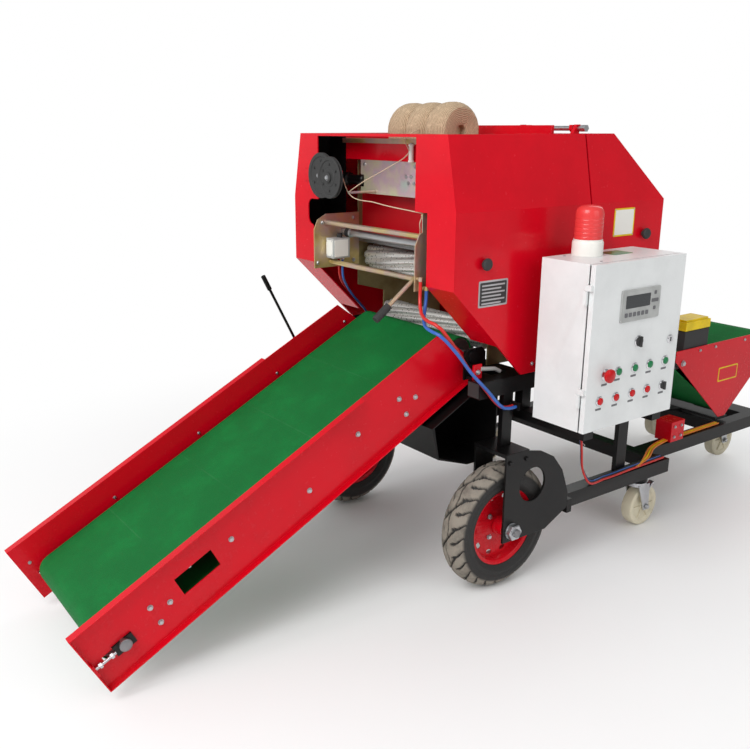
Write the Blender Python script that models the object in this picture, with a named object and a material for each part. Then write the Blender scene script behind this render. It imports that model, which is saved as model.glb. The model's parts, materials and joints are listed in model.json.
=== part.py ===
"""Small round baler with a feed conveyor in front and a wrapping table behind.

Sizes below are in millimetres and become metres when the pieces are placed.
X to the machine's right (cabinet side), -Y towards the feed end, Z up, ground
at Z = 0, wheel axle at Y = 0.  When placed, the origin is the middle of the
machine's footprint.  Every node is one closed body.
"""
import math
import bmesh
import bpy
from mathutils import Matrix, Vector

# ------------------------------------------------------------------ sizes
MM = 0.001
GAP = 0.3                      # seat gap between pieces that rest together

BODY_HALF = 405.0              # housing half width at the crease
TOP_HALF = 363.0               # housing half width at the roof
SKIN = 4.0
FRONT_Y = -217.0
SEAM_Y = 320.0                 # rear edge of the fixed housing
REAR_Y = 672.0                 # rear of the tailgate at the crease
ROOF_REAR_Y = 452.0
ROOF_Z = 1360.0
CREASE_Z = 1159.0
CORNER_Z = 949.0               # where the front edge turns back
SILL_Z = 672.0
SILL_Y = 62.0
MOUTH_HALF = 288.0             # half width of the feed opening below the tying gear
GEAR_X0, GEAR_X1 = -262.0, 233.0   # sides of the opening in front of the tying gear
FLANGE_Z = 770.0               # foot of the sloping front flanges
GEAR_Z = 1152.0                # where the wide lower opening begins
NOTCH_X, NOTCH_Z0, NOTCH_Z1 = -322.0, 1072.0, 1155.0   # hand notch in the left flange

SLOPE = math.radians(27.2)     # conveyor slope
HEAD_Y, HEAD_Z = -61.0, 764.0  # belt surface at the conveyor head
CONV_LEN = 1352.0
WEB_X = 265.0
WEB_T = 4.0
LIP = 20.0
WEB_TOP, WEB_BOT = 70.0, -126.0
BELT_HALF = 238.0
DRUM_R = 44.0
BELT_T = 3.0
AXIS_S, AXIS_N = -4.0, -(DRUM_R + 6.0)   # head drum and hinge axis in conveyor terms
TAIL_S = CONV_LEN - 80.0
WINDOW_S = (CONV_LEN - 400.0, CONV_LEN - 282.0)   # window in the right side plate
SLOT_S = (CONV_LEN - 112.0, CONV_LEN - 34.0)      # slots of the belt tensioner
TIE_S = (300.0, CONV_LEN - 222.0)

WHEEL_X = 390.0
WHEEL_R = 200.0
TYRE_W = 100.0
RIM_R = 124.0
HUB_BORE = 15.5
AXLE_R = 15.0
NUT_X = 480.0

CASTER_R = 75.0
CASTER_W = 44.0
CASTER_TRAIL = 26.0

CAB_X0, CAB_X1 = 467.0, 657.0
CAB_Y0, CAB_Y1 = 55.0, 450.0
CAB_Z0, CAB_Z1 = 558.0, 1030.0
CAB_WALL = 3.0
DOOR_T = 16.0

RAIL_Z0, RAIL_Z1 = 190.0, 240.0
DECK_Z0, DECK_Z1 = 620.0, 670.0

TABLE_Y = 1341.0
TABLE_Z0, TABLE_Z1 = 263.0, 581.0
TABLE_HALF = 348.0
PANEL_X = 300.0

BALL_X0, BALL_LEN, BALL_R = -165.0, 92.0, 85.0    # row of three twine balls in the tray
TWINE_DISCS = ((-217, 1232, 70, -238), (-143, 1229, 63, -256))     # x, z, radius, front face y
HOSE_TAP_X = 275.0
HOSE_TAPS = ((-226, 968), (-204, 940))       # y, z of the two air fittings on the feed frame
HOSE_CLAMP = (398.0, 28.0, 583.0)            # inner front edge of the clamp on the frame post

# Air hoses: name, slot, radius, points along the route
HOSES = (
    ("hose_red", "hose_red", 5.0, ((275, -226, 961.7), (275, -226, 936), (280, -231, 905), (306, -245, 875),
                                   (350, -257, 864), (386, -254, 858), (403, -222, 815), (408, -153, 724),
                                   (410, -85, 651), (411, -37, 599.5), (411, -20, 587.5), (411, -1, 583),
                                   (411, 27.7, 583))),
    ("hose_blue", "hose_blue", 5.0, ((275, -204, 933.7), (275, -204, 908), (287, -219, 876), (320, -246, 848),
                                     (362, -262, 842), (402, -258, 834), (420, -222, 792), (422, -153, 713),
                                     (423, -85, 648), (424, -37, 598.5), (424, -20, 587), (424, -1, 583),
                                     (424, 27.7, 583))),
    ("valve_hose_red", "hose_red", 4.0, ((-250, -145, 964.7), (-250, -145, 940), (-256, -139, 905),
                                         (-280, -105, 862), (-308, -50, 818), (-335, 15, 765), (-363, 66, 712),
                                         (-372, 80, 688), (-372, 80, 670.3))),
    ("valve_hose_blue", "hose_blue", 4.0, ((-229, -145, 964.7), (-229, -145, 940), (-231, -143, 910),
                                           (-262, -104, 860), (-293, -52, 812), (-321, 12, 758), (-351, 66, 708),
                                           (-358, 80, 688), (-358, 80, 670.3))),
)

SEG = 24


# ------------------------------------------------------------------ makers
def clear_scene():
    for ob in list(bpy.data.objects):
        bpy.data.objects.remove(ob, do_unlink=True)


def material(name):
    mat = bpy.data.materials.get(name)
    if mat is None:
        rgb, rough, metal = MATS[name]
        mat = bpy.data.materials.new(name)
        mat.use_nodes = True
        mat.diffuse_color = (*rgb, 1.0)
        bsdf = mat.node_tree.nodes["Principled BSDF"]
        bsdf.inputs["Base Color"].default_value = (*rgb, 1.0)
        bsdf.inputs["Roughness"].default_value = rough
        bsdf.inputs["Metallic"].default_value = metal
    return mat


MATS = {                       # slot: colour, roughness, metallic
    "red_paint": ((0.60, 0.02, 0.03), 0.25, 0.0),
    "black_paint": ((0.03, 0.03, 0.035), 0.4, 0.0),
    "white_paint": ((0.78, 0.80, 0.80), 0.35, 0.0),
    "green_belt": ((0.03, 0.22, 0.10), 0.7, 0.0),
    "yellow_zinc": ((0.62, 0.50, 0.22), 0.3, 0.9),
    "zinc": ((0.60, 0.61, 0.62), 0.3, 0.9),
    "rubber": ((0.16, 0.15, 0.13), 0.8, 0.0),
    "twine": ((0.50, 0.36, 0.20), 0.9, 0.0),
    "nylon": ((0.80, 0.74, 0.58), 0.45, 0.0),
    "black_plastic": ((0.03, 0.03, 0.03), 0.45, 0.0),
    "white_plastic": ((0.86, 0.85, 0.80), 0.4, 0.0),
    "red_lens": ((0.75, 0.05, 0.05), 0.2, 0.0),
    "hose_red": ((0.62, 0.05, 0.05), 0.4, 0.0),
    "hose_blue": ((0.08, 0.18, 0.55), 0.4, 0.0),
}


def node_from_bmesh(name, bm, slot):
    bmesh.ops.remove_doubles(bm, verts=bm.verts, dist=1e-5)
    bmesh.ops.recalc_face_normals(bm, faces=bm.faces)
    me = bpy.data.meshes.new(name)
    bm.to_mesh(me)
    bm.free()
    ob = bpy.data.objects.new(name, me)
    bpy.context.scene.collection.objects.link(ob)
    me.materials.append(material(slot))
    return ob


def box_bm(x0, x1, y0, y1, z0, z1):
    bm = bmesh.new()
    vs = [bm.verts.new((x, y, z)) for z in (z0, z1) for y in (y0, y1) for x in (x0, x1)]
    for f in ((0, 2, 3, 1), (4, 5, 7, 6), (0, 1, 5, 4), (2, 6, 7, 3), (0, 4, 6, 2), (1, 3, 7, 5)):
        bm.faces.new([vs[i] for i in f])
    return bm


def prism_bm(poly, lo, hi, axis):
    """Extrude a polygon along an axis. poly is (y, z) for X, (x, z) for Y, (x, y) for Z."""
    def place(p, t):
        if axis == "X":
            return (t, p[0], p[1])
        if axis == "Y":
            return (p[0], t, p[1])
        return (p[0], p[1], t)
    bm = bmesh.new()
    a = [bm.verts.new(place(p, lo)) for p in poly]
    b = [bm.verts.new(place(p, hi)) for p in poly]
    n = len(poly)
    bm.faces.new(a)
    bm.faces.new(list(reversed(b)))
    for i in range(n):
        j = (i + 1) % n
        bm.faces.new((a[i], b[i], b[j], a[j]))
    return bm


def lathe_bm(profile, centre, axis, seg=SEG):
    """Turn (radius, along) points about an axis through centre; the profile is closed."""
    bm = bmesh.new()
    rings = []
    for r, t in profile:
        if r < 1e-6:
            rings.append([bm.verts.new(axis_point(centre, axis, 0.0, 0.0, t))])
            continue
        rings.append([bm.verts.new(axis_point(centre, axis, r, 2 * math.pi * k / seg, t))
                      for k in range(seg)])
    n = len(rings)
    closed = profile[0][0] > 1e-6
    for i in range(n if closed else n - 1):
        a, b = rings[i], rings[(i + 1) % n]
        for k in range(seg):
            m = (k + 1) % seg
            if len(a) == 1 and len(b) == 1:
                continue
            if len(a) == 1:
                bm.faces.new((a[0], b[k], b[m]))
            elif len(b) == 1:
                bm.faces.new((a[k], b[0], a[m]))
            else:
                bm.faces.new((a[k], b[k], b[m], a[m]))
    return bm


def axis_point(c, axis, r, ang, t):
    u, v = r * math.cos(ang), r * math.sin(ang)
    if axis == "X":
        return (c[0] + t, c[1] + u, c[2] + v)
    if axis == "Y":
        return (c[0] + v, c[1] + t, c[2] + u)
    return (c[0] + u, c[1] + v, c[2] + t)


def rod_bm(a, b, r, seg=16):
    a, b = Vector(a), Vector(b)
    d = (b - a).normalized()
    up = Vector((0, 0, 1)) if abs(d.z) < 0.9 else Vector((1, 0, 0))
    u = d.cross(up).normalized()
    v = d.cross(u)
    bm = bmesh.new()
    ra, rb = [], []
    for k in range(seg):
        w = 2 * math.pi * k / seg
        o = u * math.cos(w) * r + v * math.sin(w) * r
        ra.append(bm.verts.new(a + o))
        rb.append(bm.verts.new(b + o))
    bm.faces.new(ra)
    bm.faces.new(list(reversed(rb)))
    for k in range(seg):
        m = (k + 1) % seg
        bm.faces.new((ra[k], rb[k], rb[m], ra[m]))
    return bm


def cut_join(base, others, mode):
    """Apply one exact boolean of all helper solids to base and drop the helpers."""
    group = bpy.data.collections.new("helpers")
    bpy.context.scene.collection.children.link(group)
    tools = []
    for bm in others:
        bmesh.ops.remove_doubles(bm, verts=bm.verts, dist=1e-5)
        bmesh.ops.recalc_face_normals(bm, faces=bm.faces)
        me = bpy.data.meshes.new("helper")
        bm.to_mesh(me)
        bm.free()
        tool = bpy.data.objects.new("helper", me)
        group.objects.link(tool)
        tools.append(tool)
    mod = base.modifiers.new("b", "BOOLEAN")
    mod.operation = mode
    mod.solver = "EXACT"
    if len(tools) == 1:
        mod.object = tools[0]
    else:
        mod.operand_type = "COLLECTION"
        mod.collection = group
    dg = bpy.context.evaluated_depsgraph_get()
    done = bpy.data.meshes.new_from_object(base.evaluated_get(dg))
    base.modifiers.remove(mod)
    old, name = base.data, base.data.name
    base.data = done
    bpy.data.meshes.remove(old)
    done.name = name
    for tool in tools:
        bpy.data.objects.remove(tool, do_unlink=True)
    bpy.data.collections.remove(group)
    slot = base.data.materials[0]
    base.data.materials.clear()
    base.data.materials.append(slot)
    return base


def solid(name, slot, bm, join=(), cut=()):
    ob = node_from_bmesh(name, bm, slot)
    if join:
        cut_join(ob, join, "UNION")
    if cut:
        cut_join(ob, cut, "DIFFERENCE")
    return ob


def conv(s, n):
    """Point (y, z) at distance s down the conveyor and n above its belt line."""
    return (HEAD_Y - s * math.cos(SLOPE) - n * math.sin(SLOPE),
            HEAD_Z - s * math.sin(SLOPE) + n * math.cos(SLOPE))


def mirror_x(poly):
    return [(-x, z) for x, z in reversed(poly)]


def x_span(side, a, b):
    return (a, b) if side > 0 else (-b, -a)


def section(half_grow, top_grow, z0, z1):
    """Cross-section (x, z) of the housing: upright below the crease, leaning above."""
    h, t = BODY_HALF + half_grow, TOP_HALF + half_grow
    lean = (t - h) / (ROOF_Z - CREASE_Z)
    xt = h + lean * (z1 - CREASE_Z)
    return [(-h, z0), (h, z0), (h, CREASE_Z), (xt, z1), (-xt, z1), (-h, CREASE_Z)]


# ------------------------------------------------------------------ frame
def main_frame():
    j = []
    for s in (1, -1):
        j.append(box_bm(*x_span(s, 350, 400.7), -100, 640, DECK_Z0, DECK_Z1))
        j.append(box_bm(*x_span(s, 380, 430), 230, 822, RAIL_Z0, RAIL_Z1))
        j.append(box_bm(*x_span(s, 385, 460), 248.3, 270, RAIL_Z0 + 2, RAIL_Z1 - 2))
        j.append(box_bm(*x_span(s, 382, 399), 0, 40, 453.3, DECK_Z0 + 5))
        j.append(box_bm(*x_span(s, 382, 399), 560, 610, RAIL_Z1 - 5, DECK_Z0 + 5))
        j.append(box_bm(*x_span(s, 280, 330), 790, 1606, RAIL_Z0 + 0.5, RAIL_Z1 - 0.5))
        for x, y in ((389, 700), (155, 1560)):
            j.append(lathe_bm([(0, -12), (38, -12), (38, 5), (0, 5)], (s * x, y, RAIL_Z0), "Z", 16))
            j.append(lathe_bm([(0, -26), (8, -26), (8, -6), (0, -6)], (s * x, y, RAIL_Z0), "Z", 12))
    j.append(box_bm(-362, 362, 60, 110, DECK_Z0 + 1.5, DECK_Z1 - 1))
    j.append(box_bm(-412, 412, 770, 819, RAIL_Z0 + 1.5, RAIL_Z1 - 1.5))
    j.append(box_bm(-320, 320, 1316, 1366, RAIL_Z0 + 2, RAIL_Z1 - 2))
    j.append(box_bm(-320, 320, 1518, 1604, RAIL_Z0 + 1, RAIL_Z1 - 1))
    cx, cy, cz = HOSE_CLAMP
    j.append(box_bm(cx, cx + 34, cy, cy + 11, cz - 12, cz + 12))
    for y in (80, 390):
        j.append(box_bm(364, 640, y, y + 40, 527, CAB_Z0 - GAP))
        j.append(box_bm(366, 397, y + 2, y + 38, 530, DECK_Z0 + 5))
    j.append(lathe_bm([(0, -8), (60, -8), (60, 4), (20, 4), (20, 14), (0, 14)], (0, TABLE_Y, RAIL_Z1), "Z"))
    return solid("main_frame", "black_paint", box_bm(-364, 364, 588, 638, DECK_Z0 + 1, DECK_Z1 - 2), join=j)


def front_pan():
    """Black support pan under the conveyor head."""
    o = [conv(-30, -145), conv(235, -145), (-177, 425), (-59, 384), (59.7, 384), (59.7, 634)]
    i = [conv(-32, -149), conv(226, -149), (-174, 430), (-58, 388), (55.7, 388), (55.7, 632)]
    return solid("front_pan", "black_paint", prism_bm(o, -316, 316, "X"), cut=[prism_bm(i, -345, 345, "X")])


def wheel_bracket(side, tag):
    out = [(-35, 165), (150, 165), (248, 215), (248, 265), (215, 350), (170, 405), (114, 435), (60, 447), (-35, 447)]
    hole = [(82 + 55 * math.cos(math.pi * k / 12), 333 + 55 * math.sin(math.pi * k / 12)) for k in range(24)]
    plate = prism_bm(out, *x_span(side, 452, 460), "X")
    inner = prism_bm([(-35, 180), (40, 180), (40, 453), (-35, 453)], *x_span(side, 320, 328), "X")
    top = box_bm(*x_span(side, 320, 460), -35, 60, 440, 453)
    c = (0, 0, WHEEL_R)
    axle = lathe_bm([(0, side * 322), (AXLE_R, side * 322), (AXLE_R, side * 466), (22, side * 466),
                     (22, side * NUT_X), (0, side * NUT_X)], c, "X", 24)
    return solid("wheel_bracket_" + tag, "black_paint", plate,
                 join=[top, inner, axle], cut=[prism_bm(hole, *x_span(side, 445, 465), "X")])


def wheel(side, tag):
    c = (side * WHEEL_X, 0, WHEEL_R)
    w = TYRE_W / 2
    tyre = [(RIM_R, -w + 12), (RIM_R + 14, -w + 2), (WHEEL_R - 40, -w), (WHEEL_R - 17, -w + 6), (WHEEL_R - 5, -w + 18),
            (WHEEL_R, -w + 34),
            (WHEEL_R, w - 34), (WHEEL_R - 5, w - 18), (WHEEL_R - 17, w - 6), (WHEEL_R - 40, w), (RIM_R + 14, w - 2), (RIM_R, w - 12)]
    node_from_bmesh("tyre_" + tag, lathe_bm(tyre, c, "X", 28), "rubber")
    s = side
    rr = RIM_R - GAP
    rim = [(HUB_BORE, -45 * s), (26, -45 * s), (26, 4 * s), (112, 4 * s), (112, -36 * s), (rr, -36 * s),
           (rr, 36 * s), (112, 36 * s), (112, 10 * s), (30, 16 * s), (30, 50 * s), (HUB_BORE, 50 * s)]
    node_from_bmesh("rim_" + tag, lathe_bm(rim, c, "X", 28), "red_paint")


def caster(x, y, tag):
    """Swivelling fork and wheel; the pin and top plate belong to the frame."""
    crown = lathe_bm([(0, 157), (36, 157), (36, 171), (8.5, 171), (8.5, 162), (0, 162)], (x, y, 0), "Z", 16)
    yw = y + CASTER_TRAIL
    arms = [prism_bm([(y - 24, 160), (yw - 14, 62), (yw + 14, 62), (y + 34, 160)],
                     x + sx * 30 - 2, x + sx * 30 + 2, "X") for sx in (1, -1)]
    arms.append(lathe_bm([(0, -37), (6, -37), (6, 37), (0, 37)], (x, yw, CASTER_R), "X", 12))
    arms.append(box_bm(x - 32, x + 32, y - 24, y + 34, 157, 163))
    solid("caster_fork_" + tag, "zinc", crown, join=arms)
    h = CASTER_W / 2
    prof = [(6.5, -h - 1), (22, -h - 1), (24, -h + 4), (54, -h + 4), (56, -h), (68, -h), (CASTER_R, -h + 8), (CASTER_R, h - 8),
            (68, h), (56, h), (54, h - 4), (24, h - 4), (22, h + 1), (6.5, h + 1)]
    node_from_bmesh("caster_wheel_" + tag, lathe_bm(prof, (x, yw, CASTER_R), "X", 16), "nylon")


# ------------------------------------------------------------------ housing
def hollow(side, y0, y1):
    """Room inside the housing: the side outline cut to the inner cross-section."""
    core = node_from_bmesh("core", prism_bm(side, -BODY_HALF - 5, BODY_HALF + 5, "X"), "red_paint")
    cut_join(core, [prism_bm(section(-SKIN, 0, SILL_Z - 20, ROOF_Z), y0, y1, "Y")], "INTERSECT")
    bm = bmesh.new()
    bm.from_mesh(core.data)
    bpy.data.objects.remove(core, do_unlink=True)
    return bm


def notch_outline(radius, steps=5):
    """Hand notch (x, z) with rounded outer corners."""
    pts = [(GEAR_X0 + 60, NOTCH_Z1), (GEAR_X0 + 60, NOTCH_Z0 - 20), (NOTCH_X + 40, NOTCH_Z0 - 20)]
    for zc, start in ((NOTCH_Z0 + radius, 1.5 * math.pi), (NOTCH_Z1 - radius, math.pi)):
        for k in range(steps + 1):
            w = start - 0.5 * math.pi * k / steps
            pts.append((NOTCH_X + radius + radius * math.cos(w), zc + radius * math.sin(w)))
    return pts


def front_housing():
    side = [(FRONT_Y, ROOF_Z), (FRONT_Y, CORNER_Z), (SILL_Y, SILL_Z), (SEAM_Y, SILL_Z), (SEAM_Y, ROOF_Z)]
    shell = prism_bm(side, -BODY_HALF - 5, BODY_HALF + 5, "X")
    ob = node_from_bmesh("front_housing", shell, "red_paint")
    cut_join(ob, [prism_bm(section(0, 0, SILL_Z - 10, ROOF_Z), FRONT_Y - 10, SEAM_Y + 10, "Y")], "INTERSECT")
    run = (SILL_Y - FRONT_Y) / (CORNER_Z - SILL_Z)          # the lower front leans back
    thick = SKIN * math.hypot(1.0, run)                      # its skin measured along Y
    low_y = FRONT_Y + thick + run * (CORNER_Z - SILL_Z + 20)
    room = [(FRONT_Y + SKIN, ROOF_Z - SKIN), (FRONT_Y + SKIN, CORNER_Z + (thick - SKIN) / run),
            (low_y, SILL_Z - 20), (SEAM_Y + 20, SILL_Z - 20), (SEAM_Y + 20, ROOF_Z - SKIN)]
    cut_join(ob, [hollow(room, FRONT_Y, SEAM_Y + 20)], "DIFFERENCE")
    mouth = box_bm(-MOUTH_HALF, MOUTH_HALF, FRONT_Y - 20, SILL_Y + 60, SILL_Z - 25, NOTCH_Z0)
    right = box_bm(0, MOUTH_HALF - 1, FRONT_Y - 19, FRONT_Y + 19, NOTCH_Z0 - 5, GEAR_Z)
    gear = box_bm(GEAR_X0, GEAR_X1, FRONT_Y - 18, FRONT_Y + 18, NOTCH_Z0 - 7, ROOF_Z - 8)
    notch = prism_bm(notch_outline(24), FRONT_Y - 17, FRONT_Y + 17, "Y")
    tray = box_bm(-345, 345, -112, 230, ROOF_Z - 40, ROOF_Z + 20)
    foot = box_bm(-BODY_HALF + 9, BODY_HALF - 9, FRONT_Y - 16, SILL_Y + 58, SILL_Z - 26, FLANGE_Z)
    cut_join(ob, [mouth, foot, right, gear, notch, tray], "DIFFERENCE")
    lugs = [prism_bm([(296, ROOF_Z - 2), (SEAM_Y, ROOF_Z - 2), (334, 1375), (328, 1386), (314, 1386)],
                     x - 6, x + 6, "X") for x in (-330, -110, 110, 330)]
    cut_join(ob, lugs, "UNION")
    cut_join(ob, [lathe_bm([(0, -400), (7.6, -400), (7.6, 400), (0, 400)], (0, 323, 1375), "X", 12)], "DIFFERENCE")
    return ob


def tailgate():
    y0 = SEAM_Y + 6
    side = [(y0, 690), (452, 690), (REAR_Y, CORNER_Z), (REAR_Y, CREASE_Z), (ROOF_REAR_Y, ROOF_Z), (y0, ROOF_Z)]
    ob = node_from_bmesh("tailgate_shell", prism_bm(side, -BODY_HALF - 5, BODY_HALF + 5, "X"), "red_paint")
    cut_join(ob, [prism_bm(section(0, 0, SILL_Z - 10, ROOF_Z), y0 - 10, REAR_Y + 10, "Y")], "INTERSECT")
    k = SKIN
    room = [(y0 - 20, 690 + k), (452 - 2, 690 + k), (REAR_Y - k, CORNER_Z + 1.5), (REAR_Y - k, CREASE_Z - 1.8),
            (ROOF_REAR_Y - 1.5, ROOF_Z - k), (y0 - 20, ROOF_Z - k)]
    cut_join(ob, [hollow(room, y0 - 30, REAR_Y + 10)], "DIFFERENCE")
    lugs = [prism_bm([(y0 + 2, ROOF_Z - 2), (350, ROOF_Z - 2), (332, 1385), (315, 1385), (314, 1371)],
                     x - 6, x + 6, "X") for x in (-310, -130, 130, 310)]
    cut_join(ob, lugs, "UNION")
    cut_join(ob, [lathe_bm([(0, -400), (7.6, -400), (7.6, 400), (0, 400)], (0, 323, 1375), "X", 12)], "DIFFERENCE")
    return ob


def chamber():
    poly = [(55, DECK_Z1 + GAP), (316, DECK_Z1 + GAP), (316, 1278.7), (-56, 1278.7), (-56, 860), (55, 830)]
    right, left = (prism_bm(poly, *x_span(s, 262, 268), "X") for s in (1, -1))
    solid("chamber_frame", "red_paint", right, join=[left, box_bm(-264, 264, -40, -36, 1008, 1277)])
    for name, y, z in (("feed_roller_front", 0, 957), ("feed_roller_lower", 75, 756)):
        prof = [(0, -261.7), (12, -261.7), (12, -250), (42, -250), (42, 250), (12, 250), (12, 261.7), (0, 261.7)]
        node_from_bmesh(name, lathe_bm(prof, (0, y, z), "X", 24), "zinc")


def feed_frame():
    """Plated frame of the feed rollers with its bars, twine cleat and hose fittings."""
    gold = [(-236, 932), (-57, 932), (-57, 1107), (-190, 1107), (-222, 1090), (-236, 1060)]
    right, left = (prism_bm(gold, *x_span(s, 257.7, 261.7), "X") for s in (1, -1))
    bars = [lathe_bm([(0, -259), (r, -259), (r, 259), (0, 259)], (0, y, z), "X", 16)
            for y, z, r in ((-190, 1080, 8), (-170, 950, 8))]
    ear = [box_bm(258, 261.4, -211, -193, 1095, 1149),
           lathe_bm([(0, 250), (5, 250), (5, 260), (0, 260)], (0, -204, 1142), "X", 12)]
    fittings = []
    for y, z in HOSE_TAPS:
        fittings.append(lathe_bm([(0, 260), (5, 260), (5, HOSE_TAP_X), (0, HOSE_TAP_X)], (0, y, z), "X", 12))
        fittings.append(lathe_bm([(0, z - 6), (6.5, z - 6), (6.5, z + 6), (0, z + 6)], (HOSE_TAP_X, y, 0), "Z", 12))
    solid("feed_frame", "yellow_zinc", right, join=[left] + bars + ear + fittings)


def twine_gear():
    tray = box_bm(-330, 330, -100, 222, 1279, 1384)
    solid("twine_tray", "red_paint", tray,
          cut=[box_bm(-327, 327, -97, 219, 1282, 1400), box_bm(-340, 340, -120, 210, 1345, 1400)])
    solid("twine_crossbar", "yellow_zinc", box_bm(-280, 100, -108, -100.3, 1330, 1345))
    eye = lathe_bm([(0, -206), (4, -206), (4, -96), (0, -96)], (-106, 0, 1184), "Y", 10)
    solid("twine_plate", "yellow_zinc", box_bm(-190, 105, -99, -95, 1175, 1278.7), join=[eye])
    node_from_bmesh("guide_roller", lathe_bm([(0, 1279), (9, 1279), (9, 1329.7), (0, 1329.7)], (80, -110, 0), "Z", 20),
                    "white_plastic")
    ball, x = [(20, BALL_X0)], BALL_X0
    for k in range(3):
        for f, r in ((0.03, BALL_R - 12), (0.12, BALL_R - 3), (0.5, BALL_R), (0.88, BALL_R - 3), (0.97, BALL_R - 12)):
            ball.append((r, x + BALL_LEN * f))
        x += BALL_LEN
    ball.append((20, x))
    node_from_bmesh("twine_balls", lathe_bm(ball, (0, 60, 1367.3), "X", 20), "twine")
    discs = []
    for x, z, r, y in TWINE_DISCS:
        rim = [(0, y), (r, y), (r, y + 4), (r - 5, y + 6), (r, y + 8), (r, y + 12), (0, y + 12)]
        discs.append(lathe_bm(rim, (x, 0, z), "Y", 28))
        discs.append(lathe_bm([(0, y - 6), (9, y - 6), (9, FRONT_Y - 2), (0, FRONT_Y - 2)], (x, 0, z), "Y", 16))
    solid("twine_pulley", "black_paint", box_bm(-340, -120, FRONT_Y - 6, FRONT_Y - GAP, 1212, 1250), join=discs)
    solid("valve_block", "zinc", box_bm(-257.4, -215, -190, -125, 965, 1030))
    node_from_bmesh("feed_tube", lathe_bm([(0, -257.4), (12, -257.4), (12, 257.4), (0, 257.4)], (0, -120, 1045),
                                          "X", 16), "zinc")
    lever = rod_bm((246, -200, 985), (246, -330, 887), 6)
    solid("hand_lever", "black_paint", lever,
          join=[lathe_bm([(0, 238), (14, 238), (14, 257.4), (0, 257.4)], (0, -200, 985), "X", 20),
                rod_bm((246, -316, 897.5), (246, -362, 863), 12)])


# ------------------------------------------------------------------ conveyor
def conveyor():
    web = [conv(CONV_LEN, WEB_TOP), conv(CONV_LEN, WEB_BOT), conv(-42, WEB_BOT), conv(55, WEB_TOP - 4)]
    ay, az = conv(AXIS_S, AXIS_N)
    ty, tz = conv(TAIL_S, AXIS_N)
    for s, tag in ((1, "r"), (-1, "l")):
        o, i = WEB_X + WEB_T, WEB_X
        pocket = [conv(CONV_LEN - 3, WEB_TOP - 3), conv(CONV_LEN - 3, WEB_BOT + 3), conv(-80, WEB_BOT + 3),
                  conv(-80, WEB_TOP - 20), conv(40, WEB_TOP - 3)]
        cuts = [prism_bm(pocket, *x_span(s, o, o + LIP + 5), "X"),
                lathe_bm([(0, s * (i - 10)), (12.5, s * (i - 10)), (12.5, s * (o + 10)), (0, s * (o + 10))],
                         (0, ay, az), "X", 24),
                prism_bm([conv(SLOT_S[1], AXIS_N + 9), conv(SLOT_S[1], AXIS_N - 9), conv(SLOT_S[0], AXIS_N - 9),
                          conv(SLOT_S[0], AXIS_N + 9)],
                         *x_span(s, i - 10, o + 10), "X")]
        if s > 0:
            cuts.append(prism_bm([conv(WINDOW_S[1], 0), conv(WINDOW_S[1], -58), conv(WINDOW_S[0], -58), conv(WINDOW_S[0], 0)],
                                 i - 10, o + 10, "X"))
        solid("conveyor_side_" + tag, "red_paint", prism_bm(web, *x_span(s, i, o + LIP), "X"), cut=cuts)
        solid("head_bracket_" + tag, "black_paint",
              prism_bm([(-70, 652), (15, 652), (15, 730), (0, 745), (-50, 745), (-70, 730)], *x_span(s, 294, 300), "X"),
              join=[box_bm(*x_span(s, 298, 349.7), -60, 10, 654, 664),
                    lathe_bm([(0, s * 265.5), (12, s * 265.5), (12, s * 296), (20, s * 299), (20, s * 306), (0, s * 306)],
                             (0, ay, az), "X", 24)])
    out, inn = [], []
    for k in range(13):
        w = math.pi * k / 12
        for ring, r in ((out, DRUM_R + BELT_T + GAP), (inn, DRUM_R + GAP)):
            ring.append(conv(AXIS_S - r * math.sin(w), AXIS_N + r * math.cos(w)))
    for k in range(13):
        w = math.pi * k / 12
        for ring, r in ((out, DRUM_R + BELT_T + GAP), (inn, DRUM_R + GAP)):
            ring.append(conv(TAIL_S + r * math.sin(w), AXIS_N - r * math.cos(w)))
    solid("conveyor_belt", "green_belt", prism_bm(out, -BELT_HALF, BELT_HALF, "X"),
          cut=[prism_bm(inn, -BELT_HALF - 9, BELT_HALF + 9, "X")])
    drum = BELT_HALF - 2
    for name, y, z in (("head_drum", ay, az), ("tail_drum", ty, tz)):
        prof = [(0, -264.7), (11, -264.7), (11, -drum), (DRUM_R - 1, -drum), (DRUM_R - 1, drum), (11, drum), (11, 264.7), (0, 264.7)]
        node_from_bmesh(name, lathe_bm(prof, (0, y, z), "X", 28), "zinc")
    foot, top = (-279, 663), (-410, 918)
    grip = tuple(f + 0.82 * (t - f) for f, t in zip(foot, top))
    peg = lathe_bm([(0, -302), (9, -302), (9, -WEB_X - WEB_T - GAP), (0, -WEB_X - WEB_T - GAP)], (0, *foot), "X", 16)
    solid("conveyor_handle", "black_paint", rod_bm((-297, *foot), (-297, *top), 4.5),
          join=[peg, rod_bm((-297, *grip), (-297, *top), 7.5)])
    for k, s in enumerate(TIE_S):
        p = [conv(s, -108), conv(s + 40, -108), conv(s + 40, -122), conv(s, -122)]
        solid("conveyor_tie_%d" % (k + 1), "black_paint", prism_bm(p, -264.7, 264.7, "X"))


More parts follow.
